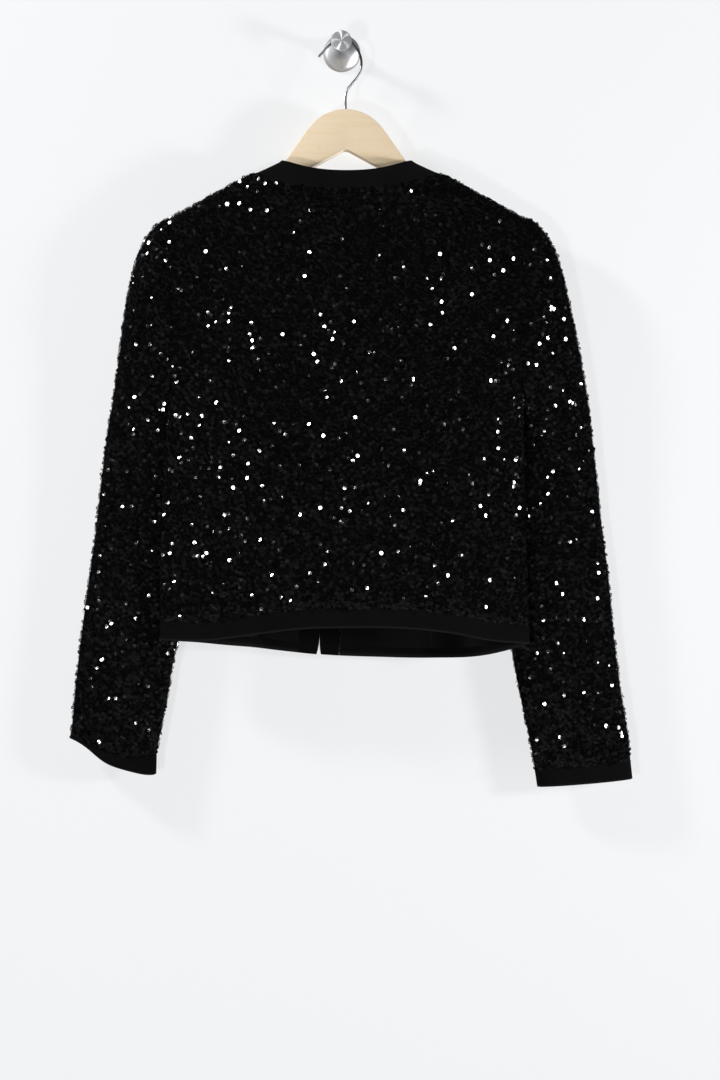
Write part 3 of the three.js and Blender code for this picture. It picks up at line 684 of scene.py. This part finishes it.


@dataclass
class SequinCoat:
    """Black round sequins sewn edge over edge on a cloth's outer face."""

    diameter: float = 4.0
    size_spread: tuple[float, float] = (0.95, 1.05)  # the smallest and the largest, as shares of it
    hole: float = 1.25
    dish: float = 0.02  # how far the hole's rim is sunk
    sides: int = 8
    spacing: float = 2.85  # least distance between two centres
    tries: int = 4  # places tried for each square of that distance
    grazing: float = 0.05  # least cosine between a covered face and its layer's outward direction
    tilt: float = 15.0  # degrees, spread of each of the two tilts
    loose_share: float = 0.1  # sequins on slack thread, which stand off the cloth
    loose_tilt: float = 36.0  # degrees, spread of the tilts of those
    most_tilt: float = 65.0  # degrees
    lift: tuple[float, float] = (0.4, 0.9)  # the least and the greatest distance from the cloth
    sewing_seed: int = 1000  # added to a scatter's seed for the draws of how its sequins lie

    def disc(self) -> tuple[np.ndarray, np.ndarray]:
        """Builds one sequin flat on XY.

        Returns:
            Its points in metres, and its quads.
        """
        turn = np.arange(self.sides) * 2 * math.pi / self.sides
        ring = np.stack([np.cos(turn), np.sin(turn), np.zeros(self.sides)], 1)
        outer = ring * self.diameter / 2
        inner = ring * self.hole / 2 - [0.0, 0.0, self.dish]
        here = np.arange(self.sides)
        after = (here + 1) % self.sides
        quads = np.stack([here, after, after + self.sides, here + self.sides], 1)
        return np.concatenate([outer, inner]) * MM, quads

    def spots(
        self, cloth: bpy.types.Object, side: Side, span: tuple[float, float], seed: int
    ) -> tuple[np.ndarray, np.ndarray]:
        """Scatters centres on the cloth's outer face, none nearer to another than the spacing.

        Args:
            cloth: the finished cloth.
            side: the layer it belongs to.
            span: the range of X that is covered, in millimetres.
            seed: the scatter's seed.

        Returns:
            The centres in metres, and the cloth's normal at each.
        """
        mesh = cloth.data
        mesh.calc_loop_triangles()
        points = read_rows(mesh.vertices, "co")
        normals = read_rows(mesh.vertices, "normal")
        corners = read_rows(mesh.loop_triangles, "vertices", np.int64)
        a, b, c = (points[corners[:, i]] for i in range(3))
        cross = np.cross(b - a, c - a)
        area = np.linalg.norm(cross, axis=1) / 2
        facing = cross[:, 1] / np.maximum(2 * area, SMALLEST_AREA) * side.value
        middle = (a[:, 0] + b[:, 0] + c[:, 0]) / 3 / MM
        covered = (facing > self.grazing) & (middle >= span[0]) & (middle < span[1])
        area = np.where(covered, area, 0.0)
        rng = np.random.default_rng(seed)
        tries = int(area.sum() / (self.spacing * MM) ** 2 * self.tries)
        chosen = rng.choice(len(area), tries, p=area / area.sum())
        share = np.sort(rng.random((tries, 2)), axis=1)
        weights = np.stack([share[:, 0], share[:, 1] - share[:, 0], 1 - share[:, 1]], 1)
        place = sum(weights[:, i : i + 1] * points[corners[chosen, i]] for i in range(3))
        upright = sum(weights[:, i : i + 1] * normals[corners[chosen, i]] for i in range(3))
        kept = self.thin_out(place)
        upright = upright[kept]
        return place[kept], upright / np.linalg.norm(upright, axis=1, keepdims=True)

    def thin_out(self, place: np.ndarray) -> list[int]:
        """Keeps each point that is far enough from all those kept before it.

        Args:
            place: the points, in metres.

        Returns:
            The indices of the kept points.
        """
        least = self.spacing * MM
        cells: dict[tuple[int, int, int], list[tuple[float, float, float]]] = {}
        kept = []
        around = [(i, j, k) for i in (-1, 0, 1) for j in (-1, 0, 1) for k in (-1, 0, 1)]
        for index, (x, y, z) in enumerate(place.tolist()):
            i, j, k = int(x // least), int(y // least), int(z // least)
            near = (p for di, dj, dk in around for p in cells.get((i + di, j + dj, k + dk), ()))
            if all((x - p[0]) ** 2 + (y - p[1]) ** 2 + (z - p[2]) ** 2 >= least**2 for p in near):
                cells.setdefault((i, j, k), []).append((x, y, z))
                kept.append(index)
        return kept

    def lay(
        self, upright: np.ndarray, rng: np.random.Generator
    ) -> tuple[np.ndarray, np.ndarray, np.ndarray]:
        """Leans each sequin on its thread and turns it about its hole.

        Args:
            upright: the cloth's normal under each sequin.
            rng: the source of the draws.

        Returns:
            The directions of each sequin's own X, Y and Z.
        """
        count = len(upright)
        across = np.cross(upright, [0.0, 0.0, 1.0])
        across /= np.maximum(np.linalg.norm(across, axis=1, keepdims=True), NEARLY_ZERO)
        along = np.cross(upright, across)
        spread = np.where(rng.random((count, 1)) < self.loose_share, self.loose_tilt, self.tilt)
        tilts = np.clip(rng.normal(0, 1, (count, 2)) * spread, -self.most_tilt, self.most_tilt)
        lean = np.tan(np.radians(tilts))
        axis = upright + lean[:, :1] * across + lean[:, 1:] * along
        axis /= np.linalg.norm(axis, axis=1, keepdims=True)
        turn = rng.random(count) * 2 * math.pi
        first = np.cos(turn)[:, None] * across + np.sin(turn)[:, None] * along
        first -= (first * axis).sum(1, keepdims=True) * axis
        first /= np.linalg.norm(first, axis=1, keepdims=True)
        return first, np.cross(axis, first), axis

    def sew(
        self, cloth: bpy.types.Object, name: str, side: Side, span: tuple[float, float], seed: int
    ) -> bpy.types.Object:
        """Covers the cloth with sequins, joined in one mesh.

        Args:
            cloth: the finished cloth.
            name: the new piece's name.
            side: the layer the cloth belongs to.
            span: the range of X that is covered.
            seed: the scatter's seed.

        Returns:
            The sequins' object.
        """
        centres, upright = self.spots(cloth, side, span, seed)
        rng = np.random.default_rng(seed + self.sewing_seed)
        count = len(centres)
        first, second, axis = self.lay(upright, rng)
        raised = np.linalg.norm(np.cross(upright, axis), axis=1) * self.diameter / 4
        lift = (rng.uniform(*self.lift, count) + raised) * MM
        shape, quads = self.disc()
        placed = shape[None, :, :] * rng.uniform(*self.size_spread, count)[:, None, None]
        points = (
            (centres + upright * lift[:, None])[:, None, :]
            + placed[:, :, :1] * first[:, None, :]
            + placed[:, :, 1:2] * second[:, None, :]
            + placed[:, :, 2:] * axis[:, None, :]
        ).reshape(-1, 3)
        faces = (quads[None, :, :] + (np.arange(count) * len(shape))[:, None, None]).reshape(-1, 4)
        obj = object_of(quad_mesh(name, points, faces), name)
        worn = rng.random(count) ** 2  # so that most are hardly worn
        mark_points(obj.data, "shade", np.repeat(worn, len(shape)))
        finish_piece(obj, FILM)
        return obj


@dataclass
class Jacket:
    """The jacket: shells on each cut piece's form, soft creases, and the sequins sewn on them."""

    cuts: tuple[Cut, ...] = (
        Cut("back", Side.BACK, GROUND, 408, 497, 0.1851, levels=2),
        Cut("back_neck_band", Side.BACK, VELVET, 262, 21.5, 0.0054),
        Cut("back_hem_band", Side.BACK, VELVET, 402, 21.5, 0.0085, levels=2, folded=True),
        Cut("back_lining", Side.BACK, SATIN, 375, 238, 0.0845),
        Cut("left_front", Side.FRONT, GROUND, 190, 510, 0.0746),
        Cut("left_front_band", Side.FRONT, VELVET, 22.6, 450, 0.0101),
        Cut("left_neck_band", Side.FRONT, VELVET, 190, 21.5, 0.0040),
        Cut("left_hem_band", Side.FRONT, VELVET, 153, 21.6, 0.0033, folded=True),
        Cut("left_front_lining", Side.FRONT, SATIN, 150, 250, 0.0367),
        Cut("left_back_sleeve", Side.BACK, GROUND, 115, 600, 0.0487),
        Cut("left_front_sleeve", Side.FRONT, GROUND, 115, 600, 0.0487),
        Cut("left_cuff", Side.BACK, VELVET, 190, 19.7, 0.0023, levels=2, creased=False, folded=True),
        Cut("right_front", Side.FRONT, GROUND, 210, 510, 0.0890),
        Cut("right_front_band", Side.FRONT, VELVET, 22.6, 448, 0.0100),
        Cut("right_neck_band", Side.FRONT, VELVET, 195, 21.5, 0.0041),
        Cut("right_hem_band", Side.FRONT, VELVET, 207, 21.6, 0.0044, folded=True),
        Cut("right_front_lining", Side.FRONT, SATIN, 192, 257, 0.0477),
        Cut("right_back_sleeve", Side.BACK, GROUND, 120, 615, 0.0533),
        Cut("right_front_sleeve", Side.FRONT, GROUND, 120, 615, 0.0533),
        Cut("right_cuff", Side.BACK, VELVET, 205, 19.7, 0.0040, levels=2, creased=False, folded=True),
    )
    back_creases: tuple[Crease, ...] = (
        Crease(-120, -300, -70, -560, 20, 2.2),
        Crease(-60, -330, -20, -600, 24, -2.0),
        Crease(60, -280, 30, -520, 22, 2.0),
        Crease(130, -320, 110, -600, 18, -2.2),
        Crease(45, -620, 42, -655, 5, -1.2),
        Crease(66, -622, 60, -655, 6, 1.4),
        Crease(-238, -330, -262, -520, 12, 2.4),
        Crease(-235, -560, -262, -690, 10, -2.0),
        Crease(250, -340, 268, -560, 12, 2.2),
        Crease(262, -600, 280, -740, 10, -2.2),
    )
    front_creases: tuple[Crease, ...] = (
        Crease(-110, -330, -70, -600, 20, 2.0),
        Crease(-60, -300, -45, -520, 16, -1.6),
        Crease(70, -310, 60, -560, 20, 2.2),
        Crease(120, -350, 118, -600, 16, -2.0),
        Crease(-240, -340, -264, -540, 12, 2.2),
        Crease(-240, -570, -266, -700, 10, -2.0),
        Crease(252, -330, 270, -540, 12, 2.2),
        Crease(264, -590, 284, -745, 10, -2.0),
    )
    sharp: float = 55.0  # degrees, rims that keep their edge
    corner: float = 32.0  # degrees, turns of a rim that keep their point
    seam_fill: float = 0.155  # each rim grows by this much, so that sewn pieces meet
    thickest: float = 2.4  # a face with a shorter edge than this may be a rim
    fold_tip: float = 45.0  # degrees, how far from straight down a fold's underside faces; those faces get the painted sheen
    smooth: float = 50.0  # degrees, turns of the cloth that still shade as one face
    middle: float = 6.0  # X at which the back's sequins are parted in two pieces
    edge: float = 1000.0  # X past every piece
    right_seed: int = 50  # added to the back's seed for its right half
    hanging_from: str = "hanger_board"
    sequins: SequinCoat = field(default_factory=SequinCoat)

    def shell(self, cut: Cut) -> bpy.types.Object:
        """Builds a piece's thin shell on its solid's form, with its creases.

        Args:
            cut: the cut piece.

        Returns:
            The shell.
        """
        obj = copy_of_node(cut.node, f"{cut.node}_cloth")
        self.keep_rims(obj)
        self.close_seams(obj)
        apply_modifier(obj, "SUBSURF", {"levels": cut.levels, "render_levels": cut.levels, "quality": 4})
        if cut.creased:
            self.crease(obj, cut.side)
        if cut.folded:
            self.mark_fold_sheen(obj)
        select_only(obj)
        bpy.ops.object.shade_smooth_by_angle(angle=math.radians(self.smooth))
        finish_piece(obj, cut.finish, cut.node)
        return obj

    def keep_rims(self, obj: bpy.types.Object) -> None:
        """Marks the cloth's rims so that subdivision doesn't round them away.

        Args:
            obj: the shell.
        """
        work = bmesh.new()
        work.from_mesh(obj.data)
        weight = work.edges.layers.float.new("crease_edge")
        corner = work.verts.layers.float.new("crease_vert")
        for edge in work.edges:
            if len(edge.link_faces) != 2 or edge.calc_face_angle() > math.radians(self.sharp):
                edge[weight] = 1.0
        for vert in work.verts:
            rims = [(e.other_vert(vert).co - vert.co).normalized() for e in vert.link_edges if e[weight]]
            if len(rims) == 2 and rims[0].angle(-rims[1]) > math.radians(self.corner):
                vert[corner] = 1.0
        work.to_mesh(obj.data)
        work.free()

    def close_seams(self, obj: bpy.types.Object) -> None:
        """Moves the cloth's rims out along their own faces.

        Args:
            obj: the shell, with its rims marked.
        """
        work = bmesh.new()
        work.from_mesh(obj.data)
        weight = work.edges.layers.float.get("crease_edge")
        moves: dict[bmesh.types.BMVert, Vector] = {}
        for face in work.faces:
            rims = sum(1 for edge in face.edges if edge[weight])
            thin = min(edge.calc_length() for edge in face.edges) < self.thickest * MM
            if rims >= 2 and thin:
                for vert in face.verts:
                    moves[vert] = moves.get(vert, Vector()) + face.normal
        for vert, move in moves.items():
            if move.length > NEARLY_ZERO:
                vert.co += move.normalized() * self.seam_fill * MM
        work.to_mesh(obj.data)
        work.free()

    def mark_fold_sheen(self, obj: bpy.types.Object) -> None:
        """Marks the lower edge of a shell in an attribute, where the velvet's finish paints its sheen.

        Args:
            obj: the shell.
        """
        fold_sheen_mask = np.zeros(len(obj.data.vertices))
        for face in obj.data.polygons:
            if face.normal.z < -math.cos(math.radians(self.fold_tip)):
                fold_sheen_mask[list(face.vertices)] = 1.0
        mark_points(obj.data, "fold_sheen_mask", fold_sheen_mask)

    def crease(self, obj: bpy.types.Object, side: Side) -> None:
        """Lifts and sinks a shell along its side's creases.

        Args:
            obj: the shell.
            side: the layer it belongs to.
        """
        mesh = obj.data
        points = read_rows(mesh.vertices, "co")
        x, z = points[:, 0] / MM, points[:, 2] / MM
        creases = self.back_creases if side is Side.BACK else self.front_creases
        points[:, 1] += side.value * sum(crease.rise(x, z) for crease in creases) * MM
        mesh.vertices.foreach_set("co", points.ravel())
        mesh.update()

    def coats(self, cut: Cut, cloth: bpy.types.Object, seed: int) -> list[bpy.types.Object]:
        """Sews the sequins on a piece, in two halves where there would be too many for one mesh.

        Args:
            cut: the cut piece.
            cloth: its shell.
            seed: the scatter's seed.

        Returns:
            The sequins' objects.
        """
        if cut.node != "back":
            return [self.sequins.sew(cloth, f"{cut.node}_sequins", cut.side, (-self.edge, self.edge), seed)]
        left = (-self.edge, self.middle)
        right = (self.middle, self.edge)
        return [
            self.sequins.sew(cloth, "back_sequins_left", cut.side, left, seed),
            self.sequins.sew(cloth, "back_sequins_right", cut.side, right, seed + self.right_seed),
        ]

    def build(self) -> None:
        for seed, cut in enumerate(self.cuts):
            cloth = self.shell(cut)
            sewn = self.coats(cut, cloth, seed) if cut.finish is GROUND else []


# Hanger and knob


@dataclass
class Hanger:
    """The flat wooden hanger and its wire hook."""

    flat: float = 1.0  # degrees, faces that turn less than this are one flat face
    sharp: float = 50.0  # degrees, edges that the sander rounds
    edge_round: float = 1.0
    edge_steps: int = 3
    smooth: float = 40.0  # degrees, turns of the outline that still shade as one face
    wire_levels: int = 2
    wire_swell: float = 0.13  # subdivision draws an eight-sided wire in by this much

    def board(self) -> bpy.types.Object:
        """Builds the board with rounded edges.

        Returns:
            The board.
        """
        obj = copy_of_node("hanger_board", "hanger_board_wood")
        bpy.ops.object.mode_set(mode="EDIT")
        bpy.ops.mesh.select_all(action="SELECT")
        bpy.ops.mesh.dissolve_limited(angle_limit=math.radians(self.flat))
        bpy.ops.object.mode_set(mode="OBJECT")
        rounding = {
            "width": self.edge_round * MM,
            "segments": self.edge_steps,
            "limit_method": "ANGLE",
            "angle_limit": math.radians(self.sharp),
        }
        apply_modifier(obj, "BEVEL", rounding)
        bpy.ops.object.shade_smooth_by_angle(angle=math.radians(self.smooth))
        finish_piece(obj, BEECH, "hanger_board")
        return obj

    def hook(self) -> bpy.types.Object:
        """Builds the round wire hook.

        Returns:
            The hook.
        """
        obj = copy_of_node("hanger_hook", "hanger_hook_wire")
        apply_modifier(obj, "SUBSURF", {"levels": self.wire_levels, "render_levels": self.wire_levels})
        select_only(obj)
        bpy.ops.object.mode_set(mode="EDIT")
        bpy.ops.mesh.select_all(action="SELECT")
        bpy.ops.transform.shrink_fatten(value=self.wire_swell * MM)
        bpy.ops.object.mode_set(mode="OBJECT")
        bpy.ops.object.shade_smooth()
        finish_piece(obj, WIRE, "hanger_hook")
        return obj

    def build(self) -> None:
        """Builds the board and the hook."""
        self.board()
        self.hook()


@dataclass
class WallKnob:
    """The turned knob: a trumpet foot, a thin stem and a flat head."""

    foot_radius: float = 21.0
    foot_rim: float = 2.0  # how far the rim stands out from the wall
    wall_round: float = 0.3  # the rim's edge at the wall
    rim_round: float = 0.4  # its edge towards the room
    flare_start: float = 2.8
    flare_inset: float = 1.0  # the flat ring between the rim and the flare
    flare_power: float = 2.6  # how hollow the trumpet is
    flare_steps: int = 16
    stem_start: float = 27.0
    stem_end: float = 36.0
    stem_radius: float = 4.4
    head_radius: float = 11.5
    # The head's profile. Its back is measured aside from the stem and out from the stem's end, its edge
    # aside from the head's radius and out from the stem's end, its front aside from the radius and out
    # from the knob's length.
    head_back: tuple[tuple[float, float], ...] = ((0.0, 0.0), (0.4, 1.4), (1.4, 2.8), (3.9, 5.1))
    head_edge: tuple[tuple[float, float], ...] = ((-0.5, 6.7), (0.0, 7.4))
    head_front: tuple[tuple[float, float], ...] = ((0.0, -0.7), (-0.25, -0.2), (-0.8, 0.0))
    length: float = 46.0
    steps: int = 96  # round the axis
    smooth: float = 25.0  # degrees, turns of the profile that still shade as one face

    def profile(self) -> list[tuple[float, float]]:
        """Lists the profile's points from the wall to the head.

        Returns:
            Each point's radius and distance from the wall.
        """
        foot, stem, head = self.foot_radius, self.stem_radius, self.head_radius
        points = [
            (0.0, 0.0),
            (foot - self.wall_round, 0.0),
            (foot, self.wall_round),
            (foot, self.foot_rim - self.rim_round),
            (foot - self.rim_round, self.foot_rim),
        ]
        for step in range(self.flare_steps + 1):
            share = step / self.flare_steps
            radius = stem + (foot - self.flare_inset - stem) * (1 - share) ** self.flare_power
            points.append((radius, self.flare_start + (self.stem_start - self.flare_start) * share))
        points += [(stem + aside, self.stem_end + out) for aside, out in self.head_back]
        points += [(head + aside, self.stem_end + out) for aside, out in self.head_edge]
        points += [(head + aside, self.length + out) for aside, out in self.head_front]
        return points + [(0.0, self.length)]

    def build(self) -> bpy.types.Object:
        """Draws the profile and spins it about Y.

        Returns:
            The knob.
        """
        profile = self.profile()
        bpy.ops.object.select_all(action="DESELECT")
        bpy.ops.mesh.primitive_plane_add(size=1 * MM, location=(0, 0, 0))
        obj = bpy.context.active_object
        obj.name = obj.data.name = "wall_knob_steel"
        bpy.ops.object.mode_set(mode="EDIT")
        bpy.ops.mesh.merge(type="CENTER")
        for (radius, out), (next_radius, next_out) in zip(profile, profile[1:]):
            step = ((next_radius - radius) * MM, -(next_out - out) * MM, 0.0)
            bpy.ops.mesh.extrude_region_move(TRANSFORM_OT_translate={"value": step})
        bpy.ops.mesh.select_all(action="SELECT")
        bpy.ops.mesh.spin(steps=self.steps, angle=2 * math.pi, center=(0, 0, 0), axis=(0, 1, 0))
        bpy.ops.mesh.select_all(action="SELECT")
        bpy.ops.mesh.remove_doubles(threshold=SAME_PLACE)
        bpy.ops.mesh.normals_make_consistent(inside=False)
        bpy.ops.object.mode_set(mode="OBJECT")
        bpy.ops.object.shade_smooth_by_angle(angle=math.radians(self.smooth))
        finish_piece(obj, KNOB_STEEL, "wall_knob")
        return obj


# Stage


@dataclass(frozen=True)
class PaintedWall(Finish):
    """Matt white wall paint, lit evenly, and clear from behind so that the object shows from there too."""

    colour: str = "#919294"
    rough: float = 0.6
    glow_colour: str = "#f5f6f7"
    glow: float = 0.75  # even light of its own, which keeps the shadows on it faint
    one_sided: bool = True

    def shade(self, tree: bpy.types.NodeTree) -> bpy.types.NodeSocket:
        """Builds the finish's nodes.

        Args:
            tree: the material's empty node tree.

        Returns:
            The shader's output.
        """
        diffuse = add_node(
            tree, "ShaderNodeBsdfDiffuse", {"Color": linear(self.colour), "Roughness": self.rough}, {}
        )
        even = add_node(
            tree, "ShaderNodeEmission", {"Color": linear(self.glow_colour), "Strength": self.glow}, {}
        )
        paint = add_node(tree, "ShaderNodeAddShader", {}, {})
        tree.links.new(diffuse.outputs["BSDF"], paint.inputs[0])
        tree.links.new(even.outputs["Emission"], paint.inputs[1])
        if not self.one_sided:
            return paint.outputs["Shader"]
        clear = add_node(tree, "ShaderNodeBsdfTransparent", {}, {})
        behind = add_node(tree, "ShaderNodeNewGeometry", {}, {}).outputs["Backfacing"]
        mixed = add_node(tree, "ShaderNodeMixShader", {}, {"Fac": behind})
        tree.links.new(paint.outputs["Shader"], mixed.inputs[1])
        tree.links.new(clear.outputs["BSDF"], mixed.inputs[2])
        return mixed.outputs["Shader"]


WALL_PAINT = PaintedWall("Matt wall paint, white")
FLOOR_PAINT = PaintedWall("Matt floor paint, pale", glow=0.0, one_sided=False)


@dataclass
class Lamp:
    """A soft lamp: a flat panel, or a round one, that faces a point."""

    name: str
    place: tuple[float, float, float]
    size: float
    radiance: float
    disc: bool = False
    target: tuple[float, float, float] = (0.0, 0.0, -0.5)

    def build(self) -> bpy.types.Object:
        """Builds the lamp with the power that gives its face the stated radiance.

        Returns:
            The lamp.
        """
        data = bpy.data.lights.new(self.name, "AREA")
        data.shape = "DISK" if self.disc else "SQUARE"
        data.size = self.size
        face = math.pi * self.size**2 / 4 if self.disc else self.size**2
        data.energy = self.radiance * math.pi * face
        obj = object_of(data, self.name)
        obj.location = self.place
        obj.rotation_euler = (Vector(self.target) - Vector(self.place)).to_track_quat("-Z", "Y").to_euler()
        return obj


@dataclass
class Studio:
    """The pale wall and floor, the lamps and the camera, in metres."""

    wall_y: float = 0.0006  # just behind the knob's foot
    floor_z: float = -2.2
    half: float = 4.0  # of a backdrop's side
    camera_place: tuple[float, float, float] = (0.0206, -1.7, -0.551)
    lens: float = 50.0  # millimetres
    sensor: float = 36.0  # millimetres
    room_colour: str = "#f4f6fa"
    room_light: float = 0.03
    lamps: tuple[Lamp, ...] = (
        Lamp("key", (-0.75, -1.95, -1.1), 0.22, 125.0, disc=True),
        Lamp("side_left", (-1.6, -0.75, 0.85), 0.24, 215.0),
        Lamp("side_right", (1.6, -0.75, -0.5), 0.21, 160.0),
        Lamp("behind_key", (0.75, 1.95, -1.1), 0.22, 125.0, disc=True),
        Lamp("behind_soft", (-0.9, 1.9, 0.6), 0.3, 70.0),
    )

    def panel(self, name: str, height: float, tip: float, paint: PaintedWall) -> None:
        """Adds a flat backdrop.

        Args:
            name: its name.
            height: its middle's height.
            tip: how far it is tipped up about X, in degrees.
            paint: its finish.
        """
        bpy.ops.object.select_all(action="DESELECT")
        bpy.ops.mesh.primitive_plane_add(
            size=2 * self.half, location=(0, self.wall_y, height), rotation=(math.radians(tip), 0, 0)
        )
        obj = bpy.context.active_object
        obj.name = name
        obj.data.materials.append(paint.material())
        obj.visible_shadow = not paint.one_sided
        obj.visible_glossy = not paint.one_sided

    def build(self) -> None:
        """Builds the backdrop, the lamps, the camera and the room's light."""
        self.panel("wall", self.floor_z + self.half, 90, WALL_PAINT)
        self.panel("floor", self.floor_z, 0, FLOOR_PAINT)
        [lamp.build() for lamp in self.lamps]
        data = bpy.data.cameras.new("camera")
        data.lens = self.lens
        data.sensor_width = self.sensor
        data.sensor_fit = "AUTO"
        camera = object_of(data, "camera")
        camera.location = self.camera_place
        camera.rotation_euler = (math.radians(90), 0, 0)
        bpy.context.scene.camera = camera
        world = bpy.data.worlds.new("room")
        bpy.context.scene.world = world
        world.use_nodes = True
        light = world.node_tree.nodes["Background"]
        light.inputs["Color"].default_value = linear(self.room_colour)
        light.inputs["Strength"].default_value = self.room_light
        bpy.context.scene.view_settings.view_transform = "Standard"


def main() -> None:
    """Builds the jacket, the hanger, the knob and the studio."""
    logging.basicConfig(level=logging.INFO, format="%(message)s")
    for part in (Jacket(), Hanger(), WallKnob(), Studio()):
        part.build()
        LOG.info("%s built", type(part).__name__)


if __name__ == "__main__":
    main()
